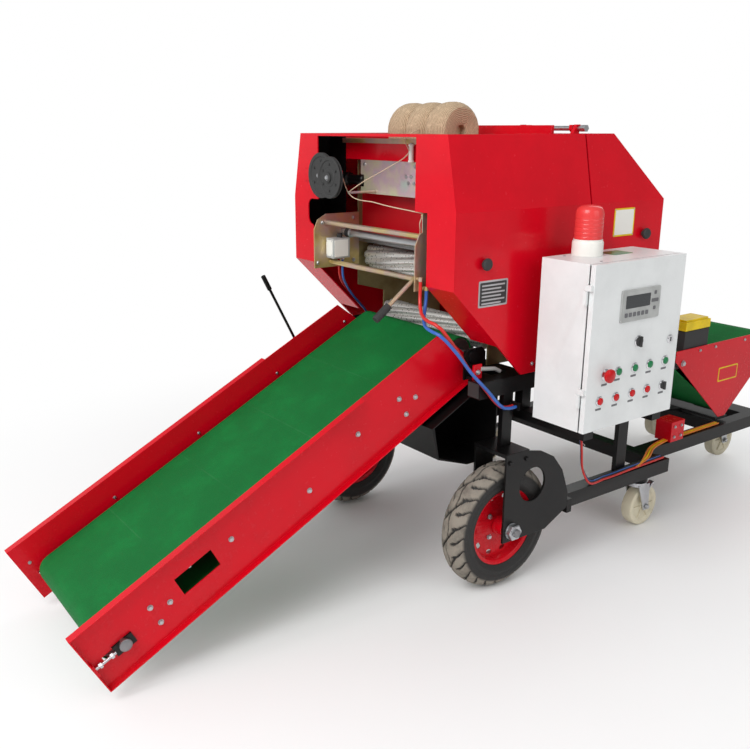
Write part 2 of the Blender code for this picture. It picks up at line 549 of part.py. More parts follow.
# ------------------------------------------------------------------ cabinet
def cabinet():
    x1 = CAB_X1 - DOOR_T - 5
    w = CAB_WALL
    solid("cabinet_shell", "white_paint", box_bm(CAB_X0, x1, CAB_Y0, CAB_Y1, CAB_Z0, CAB_Z1),
          join=[b for z in (650, 940) for b in (box_bm(x1 - 8, x1 - 0.5, CAB_Y0 - 10.5, CAB_Y0 + 1, z - 20, z + 20),
                                              box_bm(x1 - 3, x1 + 4, CAB_Y0 - 10, CAB_Y0 - 1.5, z - 19, z + 19))],
          cut=[box_bm(CAB_X0 + w, x1 + 20, CAB_Y0 + w, CAB_Y1 - w, CAB_Z0 + w, CAB_Z1 - w)] +
              [lathe_bm([(0, z - 30), (3.2, z - 30), (3.2, z + 30), (0, z + 30)], (x1 + 1.5, CAB_Y0 - 5.5, 0), "Z", 16)
               for z in (650, 940)])
    door = box_bm(CAB_X1 - DOOR_T, CAB_X1, CAB_Y0, CAB_Y1, CAB_Z0, CAB_Z1)
    dx, dy = x1 + 1.5, CAB_Y0 - 5.5
    join = []
    for z in (650, 940):
        join.append(box_bm(dx - 3.4, CAB_X1 - 2, dy - 5, dy + 3.4, z + 20.5, z + 36))
        join.append(box_bm(CAB_X1 - DOOR_T + 2, CAB_X1 - 2, dy, CAB_Y0 + 3, z + 20.5, z + 36))
        join.append(lathe_bm([(0, z - 22), (2.8, z - 22), (2.8, z + 26), (0, z + 26)], (dx, dy, 0), "Z", 16))
    solid("cabinet_door", "white_paint", door, join=join,
          cut=[box_bm(CAB_X1 - DOOR_T - 1, CAB_X1 - 2, CAB_Y0 + 12, CAB_Y1 - 12, CAB_Z0 + 12, CAB_Z1 - 12)])
    node_from_bmesh("beacon_base", lathe_bm([(0, 0.3), (44, 0.3), (44, 40), (41, 46), (0, 46)],
                                            (512, 189, CAB_Z1), "Z", 28), "white_plastic")
    node_from_bmesh("beacon_lens", lathe_bm([(0, 46.3), (40, 46.3), (40, 118), (37, 130), (28, 138), (0, 141)],
                                            (512, 189, CAB_Z1), "Z", 28), "red_lens")


# ------------------------------------------------------------------ wrapper
def wrapper():
    y0, y1 = TABLE_Y - TABLE_HALF, TABLE_Y + TABLE_HALF
    tri = [(y0, TABLE_Z1), (y0, TABLE_Z1 - 40), (TABLE_Y - 22, TABLE_Z0), (TABLE_Y + 22, TABLE_Z0), (y1, TABLE_Z1 - 40), (y1, TABLE_Z1)]
    for s, tag in ((1, "r"), (-1, "l")):
        solid("table_panel_" + tag, "red_paint", prism_bm(tri, *x_span(s, PANEL_X - 4, PANEL_X), "X"))
    solid("table_base", "black_paint", box_bm(-PANEL_X, PANEL_X, TABLE_Y - 40, TABLE_Y + 40, 252, TABLE_Z0 - GAP),
          join=[lathe_bm([(0, 250), (150, 250), (150, 262), (0, 262)], (0, TABLE_Y, 0), "Z", 40)],
          cut=[lathe_bm([(0, 240), (20.5, 240), (20.5, 257), (0, 257)], (0, TABLE_Y, 0), "Z", 24)])
    def vee(r):
        pts = [(y0 + 45, 530.0), (TABLE_Y, 320.0), (y1 - 45, 530.0)]
        a = math.atan2(pts[1][1] - pts[0][1], pts[1][0] - pts[0][0])
        n = (-math.sin(a), math.cos(a))
        loop = []
        for k in range(9):
            w = math.pi * k / 8
            loop.append((pts[0][0] - r * math.cos(a) * math.sin(w) - r * n[0] * math.cos(w),
                         pts[0][1] - r * math.sin(a) * math.sin(w) - r * n[1] * math.cos(w)))
        loop.append((TABLE_Y, 320.0 + r / math.cos(a)))
        for y, z in reversed(loop[:-1]):
            loop.append((2 * TABLE_Y - y, z))
        loop.append((TABLE_Y, 320.0 - r / math.cos(a)))
        return loop
    solid("table_belt", "green_belt", prism_bm(vee(33.0), -280, 280, "X"), cut=[prism_bm(vee(29.5), -290, 290, "X")])
    for name, y in (("table_roller_front", y0 + 45), ("table_roller_rear", y1 - 45)):
        prof = [(0, -295.7), (10, -295.7), (10, -278), (28.5, -278), (28.5, 278), (10, 278), (10, 295.7), (0, 295.7)]
        node_from_bmesh(name, lathe_bm(prof, (0, y, 530), "X", 24), "zinc")
    solid("table_motor_box", "black_plastic", box_bm(205, PANEL_X - 4 - GAP, y0 + 47, y0 + 202, 570, 690))
    solid("drive_box", "red_paint", box_bm(265, 335, 960, 1040, RAIL_Z1 + GAP, 320))


# ------------------------------------------------------------------ hoses
def smooth_route(points, step):
    """Even points about step apart on a smooth curve through the route's own points."""
    pts = [Vector(p) for p in points]
    span = [(b - a).length for a, b in zip(pts, pts[1:])]
    slope = [(b - a) / d for a, b, d in zip(pts, pts[1:], span)]
    lean = [slope[0]] + [(s0 * d1 + s1 * d0) / (d0 + d1) for s0, s1, d0, d1 in
                         zip(slope, slope[1:], span, span[1:])] + [slope[-1]]
    fine, run = [pts[0]], [0.0]
    for a, b, m, n, d in zip(pts, pts[1:], lean, lean[1:], span):
        for k in range(1, 25):
            u = k / 24
            fine.append(a * (2 * u ** 3 - 3 * u ** 2 + 1) + b * (3 * u ** 2 - 2 * u ** 3)
                        + m * d * (u ** 3 - 2 * u ** 2 + u) + n * d * (u ** 3 - u ** 2))
            run.append(run[-1] + (fine[-1] - fine[-2]).length)
    count, i, out = round(run[-1] / step), 0, []
    for k in range(count + 1):
        want = run[-1] * k / count
        while i < len(run) - 2 and run[i + 1] < want:
            i += 1
        out.append(fine[i].lerp(fine[i + 1], min(max((want - run[i]) / (run[i + 1] - run[i]), 0.0), 1.0)))
    return out


def hoses():
    """Free air hoses as round tubes, made straight in metres."""
    base = base_centre()
    for name, slot, radius, points in HOSES:
        curve = bpy.data.curves.new(name, "CURVE")
        curve.dimensions = "3D"
        curve.bevel_depth = radius * MM
        curve.bevel_resolution = 2
        curve.use_fill_caps = True
        line = smooth_route(points, 5.0 * radius)
        spline = curve.splines.new("POLY")
        spline.points.add(len(line) - 1)
        for slot_point, p in zip(spline.points, line):
            slot_point.co = (*((p - base) * MM), 1.0)
        curve.materials.append(material(slot))
        ob = bpy.data.objects.new(name, curve)
        bpy.context.scene.collection.objects.link(ob)


def pivots():
    """Point on each moving piece's axis, in millimetres."""
    ay, az = conv(AXIS_S, AXIS_N)
    out = {}
    for n in ("conveyor_side_r", "conveyor_side_l", "conveyor_belt", "conveyor_handle", "head_drum",
              "tail_drum", "conveyor_tie_1", "conveyor_tie_2"):
        out[n] = (0, ay, az)
    out["tailgate_shell"] = (0, 323, 1375)
    out["cabinet_door"] = (CAB_X1 - DOOR_T - 3.5, CAB_Y0 - 5.5, 794)
    for s, tag in ((1, "r"), (-1, "l")):
        out["tyre_" + tag] = out["rim_" + tag] = (s * WHEEL_X, 0, WHEEL_R)
        for x, y, place in ((389, 700, "mid_"), (155, 1560, "rear_")):
            out["caster_fork_" + place + tag] = (s * x, y, 166)
            out["caster_wheel_" + place + tag] = (s * x, y + CASTER_TRAIL, CASTER_R)
    out["feed_roller_front"] = (0, 0, 957)
    out["feed_roller_lower"] = (0, 75, 756)
    for n in ("table_panel_r", "table_panel_l", "table_base", "table_belt", "table_roller_front",
              "table_roller_rear", "table_motor_box"):
        out[n] = (0, TABLE_Y, 250)
    return out


def base_centre():
    """Middle of the machine's footprint, which becomes the origin."""
    front = conv(CONV_LEN, WEB_TOP)[0]
    return Vector(((CAB_X1 - NUT_X) / 2, (TABLE_Y + TABLE_HALF + front) / 2, 0))


def to_metres():
    at = pivots()
    base = base_centre()
    for ob in bpy.data.objects:
        p = Vector(at.get(ob.name, base))
        ob.data.transform(Matrix.Scale(MM, 4) @ Matrix.Translation(-p))
        ob.location = (p - base) * MM


def main():
    clear_scene()
    main_frame()
    front_pan()
    for s, tag in ((1, "r"), (-1, "l")):
        wheel_bracket(s, tag)
        wheel(s, tag)
        caster(s * 389, 700, "mid_" + tag)
        caster(s * 155, 1560, "rear_" + tag)
    front_housing()
    tailgate()
    node_from_bmesh("tailgate_pin", lathe_bm([(0, -345), (7, -345), (7, 345), (0, 345)], (0, 323, 1375), "X", 12), "zinc")
    chamber()
    feed_frame()
    twine_gear()
    conveyor()
    cabinet()
    wrapper()
    to_metres()
    hoses()


main()
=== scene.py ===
"""Looks of a small round baler with a feed conveyor and a bale-wrapping table."""
import json
import logging
import math
from dataclasses import dataclass, field
from enum import Enum
from typing import Callable, Dict, List, Optional, Sequence, Tuple, Union

import bmesh
import bpy
import numpy as np
from mathutils import Euler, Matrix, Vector


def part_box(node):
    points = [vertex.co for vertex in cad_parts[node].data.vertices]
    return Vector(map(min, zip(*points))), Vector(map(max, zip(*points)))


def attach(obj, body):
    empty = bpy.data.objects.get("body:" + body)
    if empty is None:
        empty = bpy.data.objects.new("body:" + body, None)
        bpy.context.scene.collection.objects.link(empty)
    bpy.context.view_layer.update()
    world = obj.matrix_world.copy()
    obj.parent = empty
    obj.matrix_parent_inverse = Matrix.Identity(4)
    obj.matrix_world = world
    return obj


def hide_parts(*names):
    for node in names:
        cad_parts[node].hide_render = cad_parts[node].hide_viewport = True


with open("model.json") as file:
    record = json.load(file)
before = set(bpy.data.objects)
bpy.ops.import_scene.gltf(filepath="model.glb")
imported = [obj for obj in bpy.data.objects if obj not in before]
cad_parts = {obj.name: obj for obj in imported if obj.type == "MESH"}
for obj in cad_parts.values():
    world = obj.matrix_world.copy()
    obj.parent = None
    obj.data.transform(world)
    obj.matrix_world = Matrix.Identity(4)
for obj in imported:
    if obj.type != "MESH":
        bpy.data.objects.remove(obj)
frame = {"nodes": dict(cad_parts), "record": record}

LOG = logging.getLogger("baler")
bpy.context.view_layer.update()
Colour = Tuple[float, float, float]
Point = Sequence[float]
Value = Union[float, "Sock"]
Warp = Callable[[np.ndarray, np.ndarray, np.ndarray], np.ndarray]


# ---------------------------------------------------------------- places
def box_of(node: str) -> Tuple[np.ndarray, np.ndarray]:
    """Lowest and highest corner of a CAD node in machine millimetres."""
    lo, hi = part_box(node)
    return (np.array(lo) - AXLE) * 1000.0, (np.array(hi) - AXLE) * 1000.0


def axle_foot() -> np.ndarray:
    """Ground point under the middle of the transport axle: the machine's own zero."""
    ends = np.array([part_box("tyre_r"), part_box("tyre_l")])
    middle = ends.mean(axis=(0, 1))
    return np.array([middle[0], middle[1], 0.0])


AXLE = axle_foot()


def metres(points: np.ndarray) -> np.ndarray:
    """Machine millimetres (axle at X = Y = 0, ground at Z = 0) to scene metres."""
    return np.asarray(points, float) * 0.001 + AXLE


# ---------------------------------------------------------------- shader graph
class Sock:
    """A value socket with arithmetic, each operator adding one Math node."""

    def __init__(self, graph: "Graph", socket: bpy.types.NodeSocket) -> None:
        """Keep the graph and the wrapped output socket."""
        self.graph = graph
        self.socket = socket

    def math(self, op: str, a: Value, b: Value = 0.0) -> "Sock":
        """One Math node of the given operation."""
        return self.graph.node("ShaderNodeMath", {"operation": op}, {0: a, 1: b})

    def __add__(self, other: Value) -> "Sock":
        """Sum."""
        return self.math("ADD", self, other)

    __radd__ = __add__

    def __sub__(self, other: Value) -> "Sock":
        """Difference."""
        return self.math("SUBTRACT", self, other)

    def __rsub__(self, other: Value) -> "Sock":
        """Reflected difference, so that 1 - mask works."""
        return self.math("SUBTRACT", other, self)

    def __mul__(self, other: Value) -> "Sock":
        """Product."""
        return self.math("MULTIPLY", self, other)

    __rmul__ = __mul__

    def sine(self) -> "Sock":
        """Sine of this value in radians."""
        return self.math("SINE", self)

    def size(self) -> "Sock":
        """This value without its sign."""
        return self.math("ABSOLUTE", self)

    def most(self, other: Value) -> "Sock":
        """Larger of two values."""
        return self.math("MAXIMUM", self, other)

    def ramp(self, lo: float, hi: float) -> "Sock":
        """This value stretched so that lo becomes 0 and hi becomes 1, eased at both ends."""
        return self.graph.node("ShaderNodeMapRange", {"interpolation_type": "SMOOTHSTEP"},
                               {"Value": self, "From Min": lo, "From Max": hi})


class Graph:
    """One material's node tree and the few patterns that finishes are made of."""

    def __init__(self, name: str) -> None:
        """Start a material that holds only its Principled BSDF."""
        self.material = bpy.data.materials.new(name)
        self.material.use_nodes = True
        self.tree = self.material.node_tree
        self.bsdf = self.tree.nodes["Principled BSDF"]

    def node(self, kind: str, settings: Optional[dict] = None, inputs: Optional[dict] = None,
             out: Union[int, str] = 0) -> Sock:
        """Make a node.

        Args:
            kind: the node's type name.
            settings: attributes set before its sockets; "stops" fills a colour ramp.
            inputs: socket name or index to a value or a Sock.
            out: which output is returned.

        Returns:
            The wrapped output socket.
        """
        made = self.tree.nodes.new(kind)
        for key, value in (settings or {}).items():
            if key == "stops":
                elements = made.color_ramp.elements
                while len(elements) < len(value):
                    elements.new(0.5)
                for element, (place, colour) in zip(elements, value):
                    element.position = place
                    element.color = (*colour, 1.0)
            else:
                setattr(made, key, value)
        for key, value in (inputs or {}).items():
            self.feed(made.inputs[key], value)
        return Sock(self, made.outputs[out])

    def feed(self, socket: bpy.types.NodeSocket, value: object) -> None:
        """Link or set one input socket."""
        if isinstance(value, Sock):
            self.tree.links.new(value.socket, socket)
        elif socket.type == "RGBA":
            socket.default_value = (*value, 1.0)
        else:
            socket.default_value = value

    def place(self) -> Sock:
        """Object coordinates, which are scene metres because every piece sits at the origin."""
        return self.node("ShaderNodeTexCoord", out="Object")

    def axis(self, letter: str) -> Sock:
        """One object coordinate in metres."""
        return self.node("ShaderNodeSeparateXYZ", {}, {0: self.place()}, letter)

    def uv(self, letter: str) -> Sock:
        """One coordinate of the piece's own UV map: turns round it, metres along it."""
        return self.node("ShaderNodeSeparateXYZ", {}, {0: self.node("ShaderNodeTexCoord", out="UV")}, letter)

    def noise(self, scale: float, detail: float = 4.0, rough: float = 0.6,
              stretch: Optional[Sequence[float]] = None) -> Sock:
        """Noise in object space, optionally stretched along the axes."""
        where = self.place()
        if stretch is not None:
            where = self.node("ShaderNodeMapping", {}, {"Vector": where, "Scale": tuple(stretch)})
        return self.node("ShaderNodeTexNoise", {}, {"Vector": where, "Scale": scale, "Detail": detail,
                                                    "Roughness": rough})

    def mix(self, factor: Value, a: object, b: object) -> Sock:
        """Blend two colours."""
        made = self.tree.nodes.new("ShaderNodeMix")
        made.data_type = "RGBA"
        for index, value in ((0, factor), (6, a), (7, b)):
            self.feed(made.inputs[index], value)
        return Sock(self, made.outputs[2])

    def bump(self, height: Sock, strength: float, distance: float = 0.001) -> Sock:
        """Bump normal from a height in units of distance."""
        return self.node("ShaderNodeBump", {}, {"Height": height, "Strength": strength, "Distance": distance})

    def finish(self, **sockets: object) -> bpy.types.Material:
        """Feed the Principled BSDF; underscores in names stand for spaces."""
        for key, value in sockets.items():
            self.feed(self.bsdf.inputs[key.replace("_", " ")], value)
        return self.material


def darker(colour: Colour, share: float) -> Colour:
    """A colour multiplied by a share."""
    return tuple(min(1.0, c * share) for c in colour)


# ---------------------------------------------------------------- finishes
@dataclass(frozen=True)
class Paint:
    """Sprayed paint with faint orange peel, settled dust low down and thin scuffs."""

    name: str
    colour: Colour
    dust: Colour = (0.34, 0.29, 0.23)
    rough: float = 0.22
    coat: float = 0.5
    dust_top: float = 0.75
    dust_most: float = 0.22
    peel: float = 0.05
    shine: float = 0.3

    def build(self) -> bpy.types.Material:
        """Dust grows as height falls below dust_top, broken up by noise; peel is fine noise."""
        g = Graph(self.name)
        cloud = g.noise(5.0, 6.0, 0.65)
        fine = g.noise(70.0, 4.0, 0.6)
        low = (1.0 - g.axis("Z").ramp(0.0, self.dust_top)) * cloud.ramp(0.35, 0.78) * self.dust_most
        scuff = g.noise(24.0, 5.0, 0.7, (1.0, 1.0, 6.0)).ramp(0.66, 0.74) * (self.dust_most * 0.5)
        tone = g.mix(cloud.ramp(0.35, 0.7), self.colour, darker(self.colour, 0.90))
        colour = g.mix(low.most(scuff), tone, self.dust)
        rough = low * 0.9 + scuff * 0.8 + fine * 0.08 + (self.rough - 0.04)
        g.finish(Specular_IOR_Level=self.shine, Coat_Roughness=0.06)
        return g.finish(Base_Color=colour, Roughness=rough, Coat_Weight=self.coat,
                        Normal=g.bump(g.noise(260.0, 2.0, 0.5), self.peel))


@dataclass(frozen=True)
class Plating:
    """Bright plating with crystal patches; tints turn it iridescent."""

    name: str
    colour: Colour
    tints: Tuple[Colour, ...] = ()
    rough: float = 0.24
    metal: float = 1.0

    def build(self) -> bpy.types.Material:
        """Slow noise picks the tint, small cells vary the gloss, stretched noise draws brush lines."""
        g = Graph(self.name)
        slow = g.noise(9.0, 3.0, 0.6)
        cells = g.node("ShaderNodeTexVoronoi", {}, {"Vector": g.place(), "Scale": 90.0}, "Distance")
        lines = g.noise(30.0, 3.0, 0.6, (1.0, 14.0, 14.0))
        if self.tints:
            last = len(self.tints) - 1
            stops = [(0.25 + 0.5 * k / last, c) for k, c in enumerate(self.tints)]
            colour = g.node("ShaderNodeValToRGB", {"stops": stops}, {"Fac": slow})
        else:
            colour = g.mix(slow, self.colour, darker(self.colour, 0.78))
        return g.finish(Base_Color=colour, Metallic=self.metal, Roughness=self.rough + cells * 0.2 + lines * 0.12,
                        Normal=g.bump(lines, 0.06))


@dataclass(frozen=True)
class Moulded:
    """Plastic or rubber with a fine moulded grain."""

    name: str
    colour: Colour
    rough: float = 0.45
    grain: float = 0.15
    scale: float = 700.0
    coat: float = 0.0
    glow: float = 0.0
    shine: float = 0.4

    def build(self) -> bpy.types.Material:
        """Slow noise for tone and fine noise for grain."""
        g = Graph(self.name)
        slow = g.noise(14.0, 4.0)
        colour = g.mix(slow.ramp(0.35, 0.7), self.colour, darker(self.colour, 0.8))
        g.finish(Base_Color=colour, Roughness=slow * 0.12 + (self.rough - 0.06), Coat_Weight=self.coat,
                 Normal=g.bump(g.noise(self.scale, 2.0), self.grain, 0.0006))
        g.finish(Specular_IOR_Level=self.shine)
        if self.glow:
            g.finish(Emission_Color=self.colour, Emission_Strength=self.glow)
        return g.material


@dataclass(frozen=True)
class Belting:
    """Rough-top belting: a small diamond weave with rubbed patches and faint pale cross lines."""

    name: str
    colour: Colour
    pitch: float = 0.006
    lines_apart: float = 0.30

    def build(self) -> bpy.types.Material:
        """Height is one sine across times one along; the cross lines are the crests of a slow sine."""
        g = Graph(self.name)
        turn = 2 * math.pi / self.pitch
        along = g.axis("Y") + g.axis("Z") * 0.514
        weave = (g.axis("X") * turn).sine() * (along * (turn * 0.87)).sine()
        wear = g.noise(7.0, 6.0, 0.7)
        fleck = g.noise(900.0, 2.0, 0.6)
        cross = (along * (math.pi / self.lines_apart)).sine().size().ramp(0.9996, 1.0) * wear.ramp(0.35, 0.6)
        tone = g.mix(wear.ramp(0.40, 0.72), self.colour, darker(self.colour, 1.3))
        tone = g.mix(fleck.ramp(0.45, 0.72) * 0.45, tone, darker(self.colour, 0.45))
        colour = g.mix(cross * 0.03, tone, (0.45, 0.55, 0.48))
        g.finish(Specular_IOR_Level=0.2)
        return g.finish(Base_Color=colour, Roughness=wear * 0.2 + 0.58,
                        Normal=g.bump(weave * 0.6 + fleck, 0.4, 0.0012))


@dataclass(frozen=True)
class Tread:
    """Tyre rubber: dusty on the crowns of the blocks, black in the grooves and on the side walls."""

    name: str
    rubber: Colour = (0.020, 0.019, 0.018)
    crown: Colour = (0.30, 0.265, 0.22)

    def build(self) -> bpy.types.Material:
        """The piece's own "crown" attribute is 1 on the blocks' tops."""
        g = Graph(self.name)
        crown = g.node("ShaderNodeAttribute", {"attribute_name": "crown"}, out="Fac")
        cloud = g.noise(22.0, 6.0, 0.7)
        grit = g.noise(420.0, 3.0, 0.6)
        colour = g.mix(crown * (cloud.ramp(0.2, 0.62) * 0.55 + 0.35), self.rubber, self.crown)
        colour = g.mix(grit.ramp(0.6, 0.8) * 0.3, colour, (0.30, 0.27, 0.23))
        return g.finish(Base_Color=colour, Roughness=0.62 + crown * 0.25 + cloud * 0.1,
                        Normal=g.bump(grit, 0.35, 0.0008))


@dataclass(frozen=True)
class Wound:
    """Twine wound on a ball in two crossing directions, with painted shade in the dips between strands."""

    name: str
    straw: Colour = (0.52, 0.37, 0.21)
    # shade: colour of the painted shade in the dips between strands
    shade: Colour = (0.16, 0.095, 0.045)
    strand: float = 0.0052

    def build(self) -> bpy.types.Material:
        """Strands are sines of length along the wall plus or minus turns; patches pick a direction; the dips between
        strands are darkened towards the shade colour as painted shade.
        """
        g = Graph(self.name)
        along, turns = g.uv("Y") * (2 * math.pi / self.strand), g.uv("X") * (2 * math.pi * 9)
        one, two = (along + turns).sine(), (along - turns).sine()
        patch = g.noise(26.0, 2.0, 0.5).ramp(0.46, 0.54)
        height = one * patch + two * (1.0 - patch)
        fibre = g.noise(260.0, 4.0, 0.7, (1.0, 2.5, 2.5))
        tone = g.mix(fibre.ramp(0.3, 0.7), darker(self.straw, 0.72), darker(self.straw, 1.25))
        # painted shade: the lower the strand height, the nearer the colour goes to the shade colour
        colour = g.mix(height.ramp(-0.2, -1.0) * 0.75, tone, self.shade)
        return g.finish(Base_Color=colour, Roughness=0.86 + fibre * 0.08,
                        Normal=g.bump(height * 0.8 + fibre, 0.9, 0.0014))


@dataclass(frozen=True)
class Screen:
    """Dark display glass, blank of any words."""

    name: str
    colour: Colour = (0.006, 0.008, 0.010)

    def build(self) -> bpy.types.Material:
        """Glass with a light smear in its gloss."""
        g = Graph(self.name)
        smear = g.noise(18.0, 4.0, 0.6)
        return g.finish(Base_Color=g.mix(smear, self.colour, darker(self.colour, 2.2)),
                        Roughness=smear * 0.12 + 0.04, Coat_Weight=0.6, Normal=g.bump(smear, 0.02))


class Finish(Enum):
    """Every finish of the machine by its plain name."""

    RED = Paint("red_gloss_paint", (0.66, 0.0010, 0.012), rough=0.26, coat=0.12, dust_most=0.03,
                shine=0.18)
    # the red paint darkened: painted shade for the chamber frame
    DARK_RED = Paint("red_shaded_paint", (0.46, 0.0010, 0.008), rough=0.32, coat=0.05, dust_most=0.05,
                     shine=0.18)
    BLACK = Paint("black_satin_paint", (0.0035, 0.0033, 0.0036), rough=0.36, coat=0.05, dust_most=0.035,
                  shine=0.25)
    WHITE = Paint("white_powder_coat", (0.77, 0.79, 0.79), rough=0.36, coat=0.1, dust_most=0.02, peel=0.10)
    GREEN = Belting("green_belting", (0.0035, 0.150, 0.030))
    GOLD = Plating("yellow_zinc_plate", (0.62, 0.48, 0.24),
                   ((0.50, 0.36, 0.12), (0.62, 0.49, 0.22), (0.56, 0.42, 0.36), (0.42, 0.47, 0.26)), 0.3, 0.75)
    OLIVE = Plating("olive_zinc_plate", (0.24, 0.185, 0.075),
                    ((0.20, 0.145, 0.05), (0.32, 0.26, 0.12), (0.24, 0.19, 0.10)), 0.38, 0.7)
    RAINBOW = Plating("iridescent_zinc_plate", (0.5, 0.5, 0.4),
                      ((0.50, 0.62, 0.36), (0.66, 0.62, 0.44), (0.62, 0.46, 0.52), (0.42, 0.60, 0.50)), 0.28, 0.55)
    ZINC = Plating("bright_zinc", (0.62, 0.63, 0.65))
    STEEL = Plating("grey_steel", (0.32, 0.32, 0.33), rough=0.35)
    FLUTED = Plating("rolled_steel", (0.88, 0.87, 0.84), rough=0.16, metal=0.65)
    CHROME = Plating("chrome", (0.80, 0.80, 0.82), rough=0.05)
    TYRE = Tread("tyre_rubber")
    RUBBER = Moulded("plain_rubber", (0.020, 0.019, 0.018), 0.7, 0.3, 500.0)
    # second colour: the painted shade in the dips between strands
    TWINE = Wound("jute_twine", (0.66, 0.49, 0.32), (0.24, 0.15, 0.08))
    STRAND = Moulded("twine_strand", (0.66, 0.50, 0.36), 0.8, 0.6, 420.0)
    NYLON = Moulded("cream_nylon", (0.70, 0.64, 0.48), 0.42, 0.1)
    BLACK_PLASTIC = Moulded("black_plastic", (0.006, 0.006, 0.0065), 0.36, shine=0.3)
    GREY_PLASTIC = Moulded("grey_plastic", (0.46, 0.47, 0.46), 0.4)
    INK = Moulded("grey_ink", (0.16, 0.16, 0.17), 0.5)
    WHITE_PLASTIC = Moulded("white_plastic", (0.78, 0.76, 0.68), 0.35, 0.08)
    YELLOW_PLASTIC = Moulded("yellow_plastic", (0.86, 0.62, 0.008), 0.35, 0.08, shine=0.25)
    GREEN_PLASTIC = Moulded("green_plastic", (0.006, 0.20, 0.065), 0.3, 0.05, coat=0.2, shine=0.3)
    RED_PLASTIC = Moulded("red_plastic", (0.56, 0.003, 0.006), 0.25, 0.05, coat=0.2, shine=0.25)
    ORANGE_PLASTIC = Moulded("orange_plastic", (0.85, 0.24, 0.03), 0.35, 0.08)
    LENS = Moulded("red_lens", (0.50, 0.0006, 0.008), 0.22, 0.03, 300.0, 0.0, 0.05, 0.06)
    SCREEN = Screen("display_glass")
    HOSE_RED = Moulded("red_air_hose", (0.62, 0.020, 0.016), 0.3, 0.05, 300.0, 0.3)
    HOSE_BLUE = Moulded("blue_air_hose", (0.030, 0.13, 0.50), 0.3, 0.05, 300.0, 0.3)

    @property
    def material(self) -> bpy.types.Material:
        """The built material, made once."""
        return bpy.data.materials.get(self.value.name) or self.value.build()


SLOT_FINISH: Dict[str, Finish] = {
    "red_paint": Finish.RED, "black_paint": Finish.BLACK, "white_paint": Finish.WHITE, "green_belt": Finish.GREEN,
    "yellow_zinc": Finish.GOLD, "zinc": Finish.ZINC, "rubber": Finish.RUBBER, "twine": Finish.TWINE,
    "nylon": Finish.NYLON, "black_plastic": Finish.BLACK_PLASTIC, "white_plastic": Finish.WHITE_PLASTIC,
    "red_lens": Finish.LENS, "hose_red": Finish.HOSE_RED, "hose_blue": Finish.HOSE_BLUE,
}
NODE_SLOT: Dict[str, str] = {p["node"]: p["material_slot"] for p in frame["record"]["subparts"]}
NODE_BODY: Dict[str, str] = {n: b for b, nodes in frame["record"]["behaviour"]["bodies"].items() for n in nodes}


# ---------------------------------------------------------------- shapes
@dataclass
class Shape:
    """Points in machine millimetres with the polygons on them.

    polys holds arrays of equal-sided polygons, and uvs holds their corners' turns and metres.
    """

    points: np.ndarray
    polys: List[np.ndarray]
    uvs: List[np.ndarray] = field(default_factory=list)
    finish: Finish = Finish.BLACK
    crown: Optional[np.ndarray] = None

    def __post_init__(self) -> None:
        """Fill in flat UVs and a flat crown where none were given."""
        self.points = np.asarray(self.points, float)
        if not self.uvs:
            self.uvs = [np.zeros((*p.shape, 2)) for p in self.polys]
        if self.crown is None:
            self.crown = np.zeros(len(self.points))

    def moved(self, by: Point) -> "Shape":
        """A copy shifted by a vector."""
        return Shape(self.points + np.asarray(by, float), self.polys, self.uvs, self.finish, self.crown)

    def mapped(self, to: Callable[[np.ndarray], np.ndarray]) -> "Shape":
        """A copy whose points went through a function of the whole array."""
        return Shape(to(self.points), self.polys, self.uvs, self.finish, self.crown)


AXES: Dict[str, Tuple[int, int, int]] = {"X": (0, 1, 2), "Y": (1, 2, 0), "Z": (2, 0, 1)}


def on_axis(axis: str, along: np.ndarray, one: np.ndarray, two: np.ndarray) -> np.ndarray:
    """Points from their distance along an axis and their two coordinates across it."""
    out = np.zeros((*np.broadcast(along, one, two).shape, 3))
    for place, value in zip(AXES[axis], (along, one, two)):
        out[..., place] = value
    return out


def box(lo: Point, hi: Point, finish: Finish = Finish.BLACK) -> Shape:
    """A box between two corners."""
    lo, hi = np.asarray(lo, float), np.asarray(hi, float)
    pick = np.array([[i & 1, i >> 1 & 1, i >> 2 & 1] for i in range(8)])
    faces = np.array([(0, 2, 3, 1), (4, 5, 7, 6), (0, 1, 5, 4), (2, 6, 7, 3), (0, 4, 6, 2), (1, 3, 7, 5)])
    return Shape(np.where(pick, hi, lo), [faces], finish=finish)


def prism(outline: Sequence[Point], lo: float, hi: float, axis: str, finish: Finish = Finish.BLACK) -> Shape:
    """An outline, (y, z), (z, x) or (x, y) for axis X, Y or Z, pushed from lo to hi."""
    flat = np.asarray(outline, float)
    n = len(flat)
    points = np.concatenate([on_axis(axis, np.full(n, t), flat[:, 0], flat[:, 1]) for t in (lo, hi)])
    k = np.arange(n)
    sides = np.stack([k, (k + 1) % n, (k + 1) % n + n, k + n], axis=1)
    return Shape(points, [sides, k[None, ::-1], k[None, :] + n], finish=finish)


